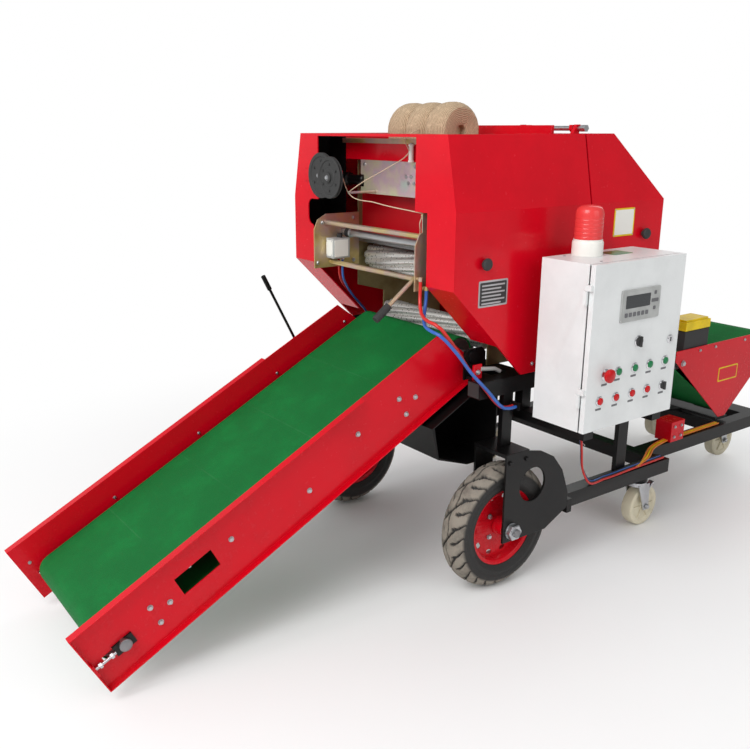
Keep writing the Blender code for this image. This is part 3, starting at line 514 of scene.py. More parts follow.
def turned(profile: Sequence[Point], centre: Point, axis: str, finish: Finish = Finish.BLACK, steps: int = 32,
           warp: Optional[Warp] = None, loop: bool = False, crown: Optional[Warp] = None) -> Shape:
    """A solid of revolution.

    Args:
        profile: (radius, along) pairs; its open ends are capped flat unless loop closes it.
        centre: point on the axis.
        axis: X, Y or Z.
        finish: its finish.
        steps: points round the axis.
        warp: new radius from angle, along and radius, for flutes, ribs and tread.
        loop: the profile is a ring that closes on itself, as a tyre's is.
        crown: value of the crown attribute from angle, along and radius.

    Returns:
        The shape, with UVs of turns round it and metres along its wall.
    """
    line = np.asarray(profile, float)
    angle = np.arange(steps) * 2 * math.pi / steps
    radius, along = line[:, :1] * np.ones(steps), line[:, 1:] * np.ones(steps)
    around = angle[None, :] * np.ones((len(line), 1))
    top = crown(around, along, radius).ravel() if crown else None
    if warp:
        radius = warp(around, along, radius)
    points = on_axis(axis, along, radius * np.cos(around), radius * np.sin(around)).reshape(-1, 3)
    closed = np.vstack([line, line[:1]]) if loop else line
    reach = np.concatenate([[0], np.cumsum(np.hypot(*np.diff(closed, axis=0).T))]) * 0.001
    rows = len(closed) - 1
    i, j = np.meshgrid(np.arange(rows), np.arange(steps), indexing="ij")
    down, right = (i + 1) % len(line), (j + 1) % steps
    quads = np.stack([i * steps + j, i * steps + right, down * steps + right, down * steps + j], axis=-1)
    u, v = np.stack([j, j + 1, j + 1, j], -1) / steps, np.stack([reach[i], reach[i], reach[i + 1], reach[i + 1]], -1)
    polys, uvs = [quads.reshape(-1, 4)], [np.stack([u, v], -1).reshape(-1, 4, 2)]
    if not loop:
        for ring, flip in ((0, -1), (len(line) - 1, 1)):
            polys.append((ring * steps + np.arange(steps))[None, ::flip])
            uvs.append(np.zeros((1, steps, 2)))
    return Shape(points + np.asarray(centre, float), polys, uvs, finish, top)


def tube(route: Sequence[Point], radius: float, finish: Finish, steps: int = 10) -> Shape:
    """A round bar along a route, its rings kept level by one fixed side vector."""
    line = np.asarray(route, float)
    way = np.gradient(line, axis=0)
    way /= np.linalg.norm(way, axis=1, keepdims=True)
    spread = way[0] if len(line) == 2 else way.mean(axis=0)
    side = np.eye(3)[np.argmin(np.abs(spread))]
    one = np.cross(way, side)
    one /= np.linalg.norm(one, axis=1, keepdims=True)
    two = np.cross(way, one)
    angle = np.arange(steps) * 2 * math.pi / steps
    ring = one[:, None] * np.cos(angle)[:, None] + two[:, None] * np.sin(angle)[:, None]
    points = (line[:, None] + ring * radius).reshape(-1, 3)
    i, j = np.meshgrid(np.arange(len(line) - 1), np.arange(steps), indexing="ij")
    right = (j + 1) % steps
    quads = np.stack([i * steps + j, i * steps + right, (i + 1) * steps + right, (i + 1) * steps + j], -1)
    caps = [np.arange(steps)[None, ::-1], ((len(line) - 1) * steps + np.arange(steps))[None]]
    return Shape(points, [quads.reshape(-1, 4)] + caps, finish=finish)


def cut_plate(outlines: Sequence[np.ndarray], lo: float, hi: float, axis: str, finish: Finish) -> Shape:
    """A flat plate with holes: the first outline is the edge, the others are cut out of it."""
    curve = bpy.data.curves.new("plate", "CURVE")
    curve.dimensions, curve.fill_mode, curve.extrude = "2D", "BOTH", (hi - lo) / 2
    for outline in outlines:
        spline = curve.splines.new("POLY")
        spline.points.add(len(outline) - 1)
        flat = np.column_stack([outline, np.zeros(len(outline)), np.ones(len(outline))])
        spline.points.foreach_set("co", flat.ravel())
        spline.use_cyclic_u = True
    holder = bpy.data.objects.new("plate", curve)
    mesh = bpy.data.meshes.new_from_object(holder)
    flat = np.array([v.co for v in mesh.vertices])
    faces = [np.array([p.vertices[:]]) for p in mesh.polygons]
    bpy.data.objects.remove(holder)
    bpy.data.meshes.remove(mesh)
    return Shape(on_axis(axis, flat[:, 2] + (lo + hi) / 2, flat[:, 0], flat[:, 1]), faces, finish=finish)


def rounded(x0: float, x1: float, y0: float, y1: float, radius: float, steps: int = 6) -> np.ndarray:
    """A rectangle's outline with arcs at its corners."""
    corners = ((x1 - radius, y1 - radius, 0), (x0 + radius, y1 - radius, 1), (x0 + radius, y0 + radius, 2),
               (x1 - radius, y0 + radius, 3))
    angle = np.linspace(0, math.pi / 2, steps)
    return np.concatenate([np.column_stack([cx + radius * np.cos(angle + q * math.pi / 2),
                                            cy + radius * np.sin(angle + q * math.pi / 2)])
                           for cx, cy, q in corners])


def bolt(centre: Point, axis: str, across: float = 13.0, out: float = 1.0, finish: Finish = Finish.ZINC) -> List[Shape]:
    """A washer and a hex head standing off a face along an axis; out is +1 or -1."""
    r = across / 2
    washer = turned([(r * 1.35, 0), (r * 1.35, 1.6 * out)], centre, axis, finish, 20)
    head = turned([(r * 1.12, 1.6 * out), (r * 1.12, r * 0.85 * out), (r * 0.9, (r * 0.85 + 1.2) * out)],
                  centre, axis, finish, 6)
    return [washer, head]


# ---------------------------------------------------------------- pieces
def into_mesh(name: str, shapes: Sequence[Shape]) -> bpy.types.Mesh:
    """Join shapes into one mesh with finishes, UVs and the crown attribute, faces outwards."""
    finishes: List[Finish] = []
    points, faces, slots, uvs, start = [], [], [], [], 0
    for shape in shapes:
        if shape.finish not in finishes:
            finishes.append(shape.finish)
        for poly, uv in zip(shape.polys, shape.uvs):
            faces += (poly + start).tolist()
            slots += [finishes.index(shape.finish)] * len(poly)
            uvs.append(uv.reshape(-1, 2))
        points.append(shape.points)
        start += len(shape.points)
    mesh = bpy.data.meshes.new(name)
    mesh.from_pydata(metres(np.concatenate(points)).tolist(), [], faces)
    mesh.polygons.foreach_set("material_index", slots)
    layer = mesh.uv_layers.new(name="wall")
    layer.uv.foreach_set("vector", np.concatenate(uvs).ravel())
    crown = mesh.attributes.new("crown", "FLOAT", "POINT")
    crown.data.foreach_set("value", np.concatenate([s.crown for s in shapes]))
    for finish in finishes:
        mesh.materials.append(finish.material)
    work = bmesh.new()
    work.from_mesh(mesh)
    bmesh.ops.recalc_face_normals(work, faces=work.faces)
    work.to_mesh(mesh)
    work.free()
    return mesh


def put(name: str, shapes: Sequence[Shape], body: str = "chassis", stands_for: Sequence[str] = (),
        bevel: float = 0.0, smooth: float = 35.0) -> bpy.types.Object:
    """Add a piece to the scene.

    Args:
        name: the piece's name.
        shapes: what it is joined from.
        body: the CAD body that it moves with.
        stands_for: CAD nodes that it replaces; they also say its body.
        bevel: width of its rounded edges in millimetres.
        smooth: faces that meet under this angle in degrees are shaded as one.

    Returns:
        The new object.
    """
    mesh = into_mesh(name, shapes)
    mesh.shade_smooth()
    mesh.set_sharp_from_angle(angle=math.radians(smooth))
    ob = bpy.data.objects.new(name, mesh)
    bpy.context.scene.collection.objects.link(ob)
    return settle(ob, body, stands_for, bevel)


def settle(ob: bpy.types.Object, body: str, stands_for: Sequence[str], bevel: float) -> bpy.types.Object:
    """Round an object's edges and tie it to its body and the nodes it stands for."""
    if bevel:
        mod = ob.modifiers.new("edges", "BEVEL")
        mod.width, mod.segments, mod.limit_method = bevel * 0.001, 2, "ANGLE"
        mod.angle_limit = math.radians(40)
        mod.harden_normals = True
    for node in stands_for:
        body = NODE_BODY[node]
        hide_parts(node)
    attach(ob, body)
    LOG.info("piece %s on %s: %d faces", ob.name, body, len(ob.data.polygons))
    return ob


def soften(node: str, bevel: float, finish: Optional[Finish] = None,
           outer: Optional[Tuple[float, Finish]] = None) -> bpy.types.Object:
    """Replace a CAD node by a merged copy of itself with rounded edges.

    Args:
        node: the CAD node.
        bevel: width of the rounded edges in millimetres.
        finish: its finish, or else its slot's.
        outer: half width in millimetres and the finish of the faces beyond it.

    Returns:
        The new object.
    """
    mesh = frame["nodes"][node].data.copy()
    work = bmesh.new()
    work.from_mesh(mesh)
    bmesh.ops.remove_doubles(work, verts=work.verts, dist=2e-5)
    bmesh.ops.dissolve_limit(work, angle_limit=math.radians(1.0), verts=work.verts, edges=work.edges)
    work.to_mesh(mesh)
    work.free()
    mesh.name = node + "_skin"
    mesh.materials.clear()
    mesh.materials.append((finish or SLOT_FINISH[NODE_SLOT[node]]).material)
    if outer:
        mesh.materials.append(outer[1].material)
        centres = np.zeros(len(mesh.polygons) * 3)
        mesh.polygons.foreach_get("center", centres)
        beyond = np.abs(centres.reshape(-1, 3)[:, 0] - AXLE[0]) > outer[0] * 0.001
        mesh.polygons.foreach_set("material_index", beyond.astype(np.int32))
    mesh.shade_smooth()
    mesh.set_sharp_from_angle(angle=math.radians(30))
    ob = bpy.data.objects.new(node + "_skin", mesh)
    bpy.context.scene.collection.objects.link(ob)
    return settle(ob, "chassis", [node], bevel)


def dress_frame() -> None:
    """Give every CAD node the finish of its slot; most are then replaced by finer pieces."""
    for node, ob in frame["nodes"].items():
        ob.data.materials.clear()
        ob.data.materials.append(SLOT_FINISH[NODE_SLOT[node]].material)


# ---------------------------------------------------------------- studio
@dataclass
class Studio:
    """Camera, floor and soft lamps."""

    eye: Point = (2138.8, -1776.3, 1377.8)
    yaw: float = 54.5
    pitch: float = -16.8
    focal_share: float = 864.7 / 750
    shift: Tuple[float, float] = (0.0245, 0.0185)
    fade: Tuple[float, float] = (0.6, 2.6)
    lamps: Tuple[Tuple[str, Point, float, float], ...] = (
        ("key", (1.2, -4.2, 3.8), 3.2, 190.0),
        ("fill", (-3.8, -3.2, 2.8), 4.0, 26.0),
        ("side", (4.6, 0.4, 2.6), 3.0, 34.0),
        ("back", (-2.0, 4.5, 3.8), 3.5, 60.0))

    def camera(self) -> None:
        """Make the camera."""
        cam = bpy.data.cameras.new("camera")
        ob = bpy.data.objects.new("camera", cam)
        bpy.context.scene.collection.objects.link(ob)
        ob.location = Vector(metres(self.eye))
        ob.rotation_euler = Euler((math.radians(90 + self.pitch), 0, math.radians(self.yaw)))
        cam.lens = self.focal_share * cam.sensor_width
        cam.shift_x, cam.shift_y = self.shift
        cam.clip_end = 100
        bpy.context.scene.camera = ob

    def light(self) -> None:
        """Make the floor, the lamps and the white surroundings."""
        bpy.context.scene.view_settings.view_transform = "Standard"
        for name, place, size, power in self.lamps:
            lamp = bpy.data.lights.new(name, "AREA")
            lamp.size, lamp.energy = size, power
            ob = bpy.data.objects.new(name, lamp)
            bpy.context.scene.collection.objects.link(ob)
            ob.location = place
            ob.rotation_euler = (Vector((0, 0, 0.6)) - Vector(place)).to_track_quat("-Z", "Y").to_euler()
        world = bpy.data.worlds.new("studio")
        bpy.context.scene.world = world
        world.use_nodes = True
        tree = world.node_tree
        seen, soft, gloss = tree.nodes["Background"], *(tree.nodes.new("ShaderNodeBackground") for _ in range(2))
        for shade, strength in ((seen, 1.0), (soft, 0.50), (gloss, 0.30)):
            shade.inputs["Color"].default_value = (1, 1, 1, 1)
            shade.inputs["Strength"].default_value = strength
        rays = tree.nodes.new("ShaderNodeLightPath")
        below = soft.outputs[0]
        for ray, shade in (("Is Glossy Ray", gloss), ("Is Camera Ray", seen)):
            swap = tree.nodes.new("ShaderNodeMixShader")
            tree.links.new(rays.outputs[ray], swap.inputs[0])
            tree.links.new(below, swap.inputs[1])
            tree.links.new(shade.outputs[0], swap.inputs[2])
            below = swap.outputs[0]
        tree.links.new(below, tree.nodes["World Output"].inputs["Surface"])
        self.floor()

    def floor(self) -> None:
        """A round pale floor."""
        reach, steps = 14.0, 96
        angle = np.arange(steps) * 2 * math.pi / steps
        rim = np.column_stack([reach * np.cos(angle), reach * np.sin(angle), np.full(steps, -0.001)])
        mesh = bpy.data.meshes.new("floor")
        mesh.from_pydata(rim.tolist(), [], [list(range(steps))])
        ob = bpy.data.objects.new("floor", mesh)
        bpy.context.scene.collection.objects.link(ob)
        g = Graph("floor_paper")
        g.finish(Base_Color=g.mix(g.noise(2.0, 2.0), (0.94, 0.94, 0.94), (0.92, 0.92, 0.92)), Roughness=0.9)
        far = g.node("ShaderNodeVectorMath", {"operation": "LENGTH"}, {0: g.place()}, "Value").ramp(*self.fade)
        seen = g.node("ShaderNodeLightPath", out="Is Camera Ray")
        white = g.node("ShaderNodeEmission", {}, {"Color": (1.0, 1.0, 1.0), "Strength": 1.0})
        swap = g.node("ShaderNodeMixShader", {}, {0: far * seen, 1: Sock(g, g.bsdf.outputs[0]), 2: white})
        g.tree.links.new(swap.socket, g.tree.nodes["Material Output"].inputs["Surface"])
        mesh.materials.append(g.material)


# ---------------------------------------------------------------- air hoses
def smooth_route(points: Sequence[Point], step: float) -> np.ndarray:
    """Even points about step apart on a smooth curve: cubic pieces that pass through the route's
    points, each with the lean of its neighbours weighted by how near they are."""
    pts = np.asarray(points, float)
    span = np.linalg.norm(np.diff(pts, axis=0), axis=1)
    slope = np.diff(pts, axis=0) / span[:, None]
    inner = (slope[:-1] * span[1:, None] + slope[1:] * span[:-1, None]) / (span[:-1] + span[1:])[:, None]
    lean = np.vstack([slope[:1], inner, slope[-1:]])
    u = (np.arange(24) / 24)[None, :, None]
    a, b, d = pts[:-1, None], pts[1:, None], span[:, None, None]
    fine = (a * (2 * u ** 3 - 3 * u ** 2 + 1) + b * (3 * u ** 2 - 2 * u ** 3)
            + lean[:-1, None] * d * (u ** 3 - 2 * u ** 2 + u) + lean[1:, None] * d * (u ** 3 - u ** 2))
    fine = np.vstack([fine.reshape(-1, 3), pts[-1:]])
    run = np.concatenate([[0], np.cumsum(np.linalg.norm(np.diff(fine, axis=0), axis=1))])
    want = np.linspace(0, run[-1], round(run[-1] / step) + 1)
    return np.column_stack([np.interp(want, run, fine[:, k]) for k in range(3)])


@dataclass
class Hoses:
    """The four free air hoses, each hanging between two fittings."""

    routes: Dict[str, Tuple[float, Tuple[Point, ...]]] = field(default_factory=lambda: {
        "hose_red": (5.0, ((275, -226, 961.7), (275, -226, 936), (280, -231, 905), (306, -245, 875),
                           (350, -257, 864), (386, -254, 858), (403, -222, 815), (408, -153, 724), (410, -85, 651),
                           (411, -37, 599.5), (411, -20, 587.5), (411, -1, 583), (411, 27.7, 583))),
        "hose_blue": (5.0, ((275, -204, 933.7), (275, -204, 908), (287, -219, 876), (320, -246, 848),
                            (362, -262, 842), (402, -258, 834), (420, -222, 792), (422, -153, 713), (423, -85, 648),
                            (424, -37, 598.5), (424, -20, 587), (424, -1, 583), (424, 27.7, 583))),
        "valve_hose_red": (4.0, ((-250, -145, 964.7), (-250, -145, 940), (-256, -139, 905), (-280, -105, 862),
                                 (-308, -50, 818), (-335, 15, 765), (-363, 66, 712), (-372, 80, 688),
                                 (-372, 80, 670.3))),
        "valve_hose_blue": (4.0, ((-229, -145, 964.7), (-229, -145, 940), (-231, -143, 910), (-262, -104, 860),
                                  (-293, -52, 812), (-321, 12, 758), (-351, 66, 708), (-358, 80, 688),
                                  (-358, 80, 670.3)))})

    def build(self) -> None:
        for name, (radius, points) in self.routes.items():
            line = metres(smooth_route(points, 5.0 * radius))
            curve = bpy.data.curves.new(name + "_line", "CURVE")
            curve.dimensions, curve.bevel_depth, curve.bevel_resolution = "3D", radius * 0.001, 4
            curve.use_fill_caps = True
            spline = curve.splines.new("POLY")
            spline.points.add(len(line) - 1)
            spline.points.foreach_set("co", np.column_stack([line, np.ones(len(line))]).ravel())
            curve.materials.append(SLOT_FINISH[NODE_SLOT[name]].material)
            ob = bpy.data.objects.new(name + "_cord", curve)
            bpy.context.scene.collection.objects.link(ob)
            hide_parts(name)
            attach(ob, NODE_BODY[name])


# ---------------------------------------------------------------- sub-assemblies
@dataclass
class Conveyor:
    """Sloping feed conveyor: side plates with their bolts and slots, belt, drums and handle."""

    slope: float = math.radians(27.2)
    head: Tuple[float, float] = (-61.0, 764.0)
    web: float = 269.0
    inner: float = 265.0
    belt_half: float = 238.0
    length: float = 1352.0
    inner_bolts: Tuple[float, ...] = (1320, 1019, 695, 366, 60)
    outer_bolts: Tuple[Tuple[float, float], ...] = (
        (893, -16), (434, -19), (1157, -18), (1110, -44), (1157, -74), (269, -17), (217, -49), (268, -75), (640, -60))
    tension_slot: Tuple[float, float] = (1240, 1318)

    def at(self, s: float, n: float) -> Tuple[float, float]:
        """Point (y, z) at distance s down the conveyor and n above its belt line."""
        c, k = math.cos(self.slope), math.sin(self.slope)
        return self.head[0] - s * c - n * k, self.head[1] - s * k + n * c

    def row(self, x: float, pairs: Sequence[Tuple[float, float]], out: float, across: float) -> List[Shape]:
        """Bolts on a side plate at several places."""
        made: List[Shape] = []
        for s, n in pairs:
            made += bolt((x, *self.at(s, n)), "X", across, out)
        return made

    def tensioner(self, side: float) -> List[Shape]:
        """Belt tensioner: bearing plate in the slot, threaded rod, nuts and end lug."""
        x, (s0, s1) = side * self.web, self.tension_slot
        lo, hi = sorted((x, x + side * 7))
        plate = [self.at(s, n) for s, n in ((s0 - 12, -34), (s0 - 12, -66), (s0 + 46, -66), (s0 + 46, -34))]
        made = [prism(plate, lo, hi, "X", Finish.BLACK)]
        made.append(turned([(17, 0), (17, side * 14), (12, side * 17)], (x, *self.at(s0 + 16, -50)), "X",
                           Finish.STEEL, 24))
        made.append(tube([(x + side * 9, *self.at(s, -50)) for s in (s0 + 44, s0 + 72, self.length - 5)], 4.0,
                         Finish.ZINC, 12))
        for s in (s0 + 52, s1 + 8):
            ends = [(x + side * 9, *self.at(s + d, -50)) for d in (0, 8)]
            made.append(tube(ends, 8.0, Finish.ZINC, 6))
        lug = [self.at(s, n) for s, n in ((self.length - 8, -32), (self.length - 8, -68), (self.length - 2, -68),
                                          (self.length - 2, -32))]
        made.append(prism(lug, *sorted((x, x + side * 18)), "X", Finish.RED))
        return made

    def build(self) -> None:
        """Soften the CAD plates and add the fastenings that they carry."""
        for node, width in (("conveyor_side_r", 1.2), ("conveyor_side_l", 1.2), ("conveyor_belt", 0.8),
                            ("conveyor_tie_1", 1.0), ("conveyor_tie_2", 1.0), ("conveyor_handle", 0.0)):
            soften(node, width)
        for node, s in (("head_drum", -4), ("tail_drum", 1272)):
            profile = [(11, -264.7), (11, -236), (42, -236), (43, -233), (43, 233), (42, 236), (11, 236), (11, 264.7)]
            put(node + "_turned", [turned(profile, (0, *self.at(s, -50)), "X", Finish.STEEL, 40)], stands_for=[node])
        for side, tag in ((1, "r"), (-1, "l")):
            parts = self.row(side * self.web, self.outer_bolts, side, 12.0)
            parts += self.row(side * self.inner, [(s, 0) for s in self.inner_bolts], -side, 8.0)
            parts += self.tensioner(side)
            put("conveyor_fastenings_" + tag, parts, body="conveyor", bevel=0.3)
        top = -2.7
        for side, tag in ((1, "r"), (-1, "l")):
            x = side * (self.belt_half - 5)
            strip = prism([self.at(s, n) for s, n in ((0, top), (1268, top), (1268, top + 0.8), (0, top + 0.8))],
                          x - 1.5, x + 1.5, "X", Finish.GREEN)
            put("belt_edge_" + tag, [strip], body="conveyor")


@dataclass
class Housing:
    """Red housing with its tailgate, knobs, plates and hinge."""

    half: float = 405.0
    front: float = -217.0
    seam: float = 320.0
    roof: float = 1360.0
    crease: float = 1159.0
    top_half: float = 363.0
    front_knob: Point = (405.0, -108.0, 1017.0)
    rear_knob: Point = (405.0, 581.0, 1055.0)

    def knob(self, centre: Point, side: float) -> List[Shape]:
        """A round black grip on a short neck."""
        where = (side * centre[0], centre[1], centre[2])
        line = [(9, 0), (9, 5), (15, 7), (17.5, 11), (17.5, 16), (14, 20), (4, 21.5)]
        return [turned([(r, side * a) for r, a in line], where, "X", Finish.BLACK_PLASTIC, 28,
                       lambda w, a, r: r - 0.8 * (r > 14) * np.abs(np.sin(w * 7)))]

    def plate(self, centre: Point, width: float, height: float, field_: Finish, rim: Finish,
              side: float = 1.0, rows: int = 0) -> List[Shape]:
        """A blank plate with a border, optional raised blank strips and corner rivets."""
        y, z = centre[1], centre[2]
        x = side * centre[0]

        def layer(grow: float, lo: float, hi: float, look: Finish) -> Shape:
            edge = rounded(y - width / 2 - grow, y + width / 2 + grow, z - height / 2 - grow,
                           z + height / 2 + grow, 4.0)
            return prism(edge, *sorted((x + side * lo, x + side * hi)), "X", look)

        made = [layer(0, 0.0, 0.8, rim), layer(-5, 0.6, 1.1, field_)]
        for k in range(rows):
            zc = z + height / 2 - 14 - k * (height - 24) / max(1, rows - 1)
            made.append(box((min(x, x + side * 1.4), y - width / 2 + 12, zc - 2.2),
                            (max(x, x + side * 1.4), y + width / 2 - 12 - 14 * (k % 2), zc + 2.2), rim))
        for dy in (-1, 1):
            for dz in (-1, 1):
                made.append(turned([(2.4, 0), (2.4, side * 1.6), (1.2, side * 2.4)],
                                   (x, y + dy * (width / 2 - 4), z + dz * (height / 2 - 4)), "X", Finish.ZINC, 12))
        return made

    def build(self) -> None:
        """Soften the shells and fix their trim."""
        soften("front_housing", 1.5)
        soften("tailgate_shell", 1.5)
        # chamber frame in the red paint darkened as painted shade; its faces beyond 261.5 mm in olive zinc
        soften("chamber_frame", 0.6, Finish.DARK_RED, (261.5, Finish.OLIVE))
        for side, tag in ((1, "r"), (-1, "l")):
            put("front_knob_" + tag, self.knob(self.front_knob, side), bevel=0.4)
            put("tailgate_knob_" + tag, self.knob(self.rear_knob, side), body="tailgate", bevel=0.4)
        put("data_plate", self.plate((self.half, -69.0, 932.0), 112, 75, Finish.BLACK_PLASTIC, Finish.ZINC, rows=6))
        put("blank_sticker", self.plate((self.half, 481.0, 1096.0), 97, 86, Finish.WHITE_PLASTIC,
                                        Finish.YELLOW_PLASTIC), body="tailgate")
        put("hinge_pin", [turned([(7.2, -362), (7.2, 362)], (0, 323, 1375), "X", Finish.ZINC, 24),
                          turned([(11, -364), (11, -346), (9, -344)], (0, 323, 1375), "X", Finish.ZINC, 6),
                          turned([(9, 344), (11, 346), (11, 364)], (0, 323, 1375), "X", Finish.ZINC, 6)],
            stands_for=["tailgate_pin"])
        guard = [(1060, -400.8), (1158, -400.8), (1350, -360.8), (1350, -270), (1060, -270)]
        liner = [(1040, -400.8), (1158, -400.8), (1350, -360.8), (1350, -358), (1158, -398), (1040, -398)]
        put("gear_guard", [prism(guard, -102, -100.5, "Y", Finish.BLACK), prism(liner, -208, -102, "Y", Finish.BLACK)])
        seats: List[Shape] = []
        for side in (1, -1):
            for y in (105, 270):
                seats += bolt((side * self.half, y, 700), "X", 9.0, side)
        put("sill_bolts", seats, bevel=0.3)


@dataclass
class FeedRollers:
    """Two fluted feed rollers and the dark slotted guard between them."""

    reach: float = 250.0
    radius: float = 42.0

    def roller(self, y: float, z: float, turns: float, flutes: int) -> Shape:
        """Flutes wind along the roller; their depth is a sine of angle plus distance, cut inwards."""
        inner = np.linspace(-self.reach, self.reach, 61)
        line = [(12, -261.7), (12, -self.reach - 0.01)] + [(self.radius, a) for a in inner]
        line += [(12, self.reach + 0.01), (12, 261.7)]

        def fluted(w: np.ndarray, a: np.ndarray, r: np.ndarray) -> np.ndarray:
            wave = np.abs(np.sin((w * flutes + a / self.reach * turns * math.pi) / 2))
            return r - 11.0 * (r > 20) * (1 - wave ** 0.5)

        return turned(line, (0, y, z), "X", Finish.FLUTED, 96, fluted)

    def build(self) -> None:
        """Make both rollers on their own bodies."""
        put("fluted_roller_upper", [self.roller(0, 957, 2.4, 8)], stands_for=["feed_roller_front"], smooth=50)
        put("fluted_roller_lower", [self.roller(75, 756, 2.4, 8)], stands_for=["feed_roller_lower"], smooth=50)
        slots: List[Shape] = []
        for k in range(11):
            x = -210 + k * 42
            slots.append(box((x - 13, -41.5, 1012), (x + 13, -39.8, 1022), Finish.BLACK))
        slots.append(box((-258, -58, 1010), (258, -55, 1026), Finish.STEEL))
        put("roller_guard", slots)


@dataclass
class TwineGear:
    """Twine balls in their tray and the tying gear in the front opening."""

    balls_from: float = -165.0
    ball_length: float = 92.0
    ball_radius: float = 85.0
    ball_axis: Tuple[float, float] = (60.0, 1367.3)
    discs: Tuple[Tuple[float, float, float, float], ...] = ((-217, 1232, 70, -238), (-143, 1229, 63, -256))

    def ball(self, start: float) -> Shape:
        """One wound ball with rounded shoulders and a hole in each end."""
        half = self.ball_length / 2
        along = np.linspace(-1, 1, 25)
        radius = self.ball_radius * (0.80 + 0.20 * (1 - np.abs(along) ** 3.2))
        line = [(17, -half + 26), (18, -half + 4), (26, -half)]
        line += list(zip(radius, along * half))
        line += [(26, half), (18, half - 4), (17, half - 26)]
        return turned(line, (start + half, *self.ball_axis), "X", Finish.TWINE, 56,
                      lambda w, a, r: r - 0.9 * (r > 40) * (1 + np.sin(w * 18 + a * 0.9)) / 2)

    def disc(self, x: float, z: float, radius: float, y: float) -> List[Shape]:
        """Grooved twine disc: rim with a groove, dished face, hub, ring of bolts."""
        line = [(12, y - 6), (15, y - 4), (15, y + 1), (radius * 0.42, y + 1.5), (radius * 0.46, y + 3.5),
                (radius * 0.80, y + 3.5), (radius * 0.84, y + 0.6), (radius - 1.5, y), (radius, y + 1.2),
                (radius, y + 3), (radius - 6, y + 5), (radius - 6, y + 7), (radius, y + 9), (radius, y + 12),
                (12, y + 12)]
        made = [turned(line, (x, 0, z), "Y", Finish.BLACK_PLASTIC, 56)]
        made.append(turned([(8.5, y - 6.5), (8.5, -219)], (x, 0, z), "Y", Finish.STEEL, 20))
        made += bolt((x, y - 5, z), "Y", 11, -1)
        for k in range(6):
            w = math.radians(30 + 60 * k)
            made += bolt((x + radius * 0.63 * math.cos(w), y + 3.5, z + radius * 0.63 * math.sin(w)), "Y", 6, -1,
                         Finish.BLACK_PLASTIC)
        return made

    def strands(self) -> List[Shape]:
        """Taut twine from the balls over the white roller, round the disc and across to the cleat."""
        runs = (((-155, -200, 1241), (-106, -206, 1184), (40, -209, 1163), (250, -204, 1148)),
                ((-106, -204, 1187), (-60, -190, 1215), (20, -150, 1262), (72, -119, 1300), (84, -112, 1318)),
                ((250, -204, 1140), (246, -209, 1120), (238, -200, 1100), (224, -190, 1084)),
                ((84, -121, 1312), (60, -116, 1336), (20, -60, 1362), (0, -8, 1374)))
        return [tube(smooth_route(r, 8.0), 1.5, Finish.STRAND, 8) for r in runs]

    def build(self) -> None:
        """Build the gear."""
        balls = [self.ball(self.balls_from + k * self.ball_length) for k in range(3)]
        put("wound_twine_balls", balls, stands_for=["twine_balls"])
        soften("twine_tray", 1.0)
        soften("twine_crossbar", 0.8)
        soften("twine_plate", 0.8, Finish.RAINBOW)
        soften("feed_frame", 0.8)
        plate = [box((-340, -223, 1212), (-120, -217.3, 1250), Finish.RED)]
        for spec in self.discs:
            plate += self.disc(*spec)
        put("twine_discs", plate, stands_for=["twine_pulley"], bevel=0.4)
        roller = [(9, 1279), (9, 1283), (7.4, 1285), (7.4, 1323), (9, 1325), (9, 1329.7)]
        put("white_roller", [turned(roller, (80, -110, 0), "Z", Finish.WHITE_PLASTIC, 28),
                             turned([(4, 1329.7), (4, 1333)], (80, -110, 0), "Z", Finish.ZINC, 12)],
            stands_for=["guide_roller"])
        cluster: List[Shape] = []
        for x, z in ((46, 1236), (70, 1236), (94, 1236), (58, 1217), (84, 1217)):
            cluster += bolt((x, -99, z), "Y", 9, -1)
        for x in (-168, 88):
            cluster += bolt((x, -99, 1266), "Y", 9, -1)
        cluster.append(turned([(20, -279), (22, -276), (22, -262), (16, -258), (16, -200), (21, -196), (21, -176),
                               (18, -172)], (0, -90, 1214), "X", Finish.BLACK, 32))
        put("plate_fastenings", cluster, bevel=0.3)
        tube_line = [(12, -257.4), (12, -236), (15, -235), (15, -212), (11.6, -210), (11.6, 238), (15, 239), (15, 250),
                     (12, 251), (12, 257.4)]
        put("cross_tube", [turned(tube_line, (0, -120, 1045), "X", Finish.ZINC, 32),
                           turned([(15.6, -233), (15.6, -214)], (0, -120, 1045), "X", Finish.BLACK_PLASTIC, 28)],
            stands_for=["feed_tube"])
        self.valve()
        self.lever()
        put("twine_strands", self.strands())
        gold: List[Shape] = []
        for side in (1, -1):
            for y, z in ((-80, 1090), (-80, 948), (-205, 1080), (-224, 950), (-150, 1020)):
                gold += bolt((side * 257.7, y, z), "X", 10, -side)
        put("feed_frame_bolts", gold, bevel=0.3)
        chain: List[Shape] = []
        for k in range(7):
            z = 926 + k * 14
            chain.append(tube([(-261.7, -66, z), (-286, -66, z)], 4.4, Finish.STEEL, 10))
            chain.append(box((-287, -70, z - 6), (-285, -62, z + 12), Finish.BLACK))
        chain.append(turned([(9, -294), (26, -293), (26, -289), (9, -288)], (0, -66, 972), "X", Finish.STEEL, 36,
                            lambda w, a, r: r - 3 * (r > 20) * (np.sin(w * 12) > 0)))
        put("side_chain", chain)

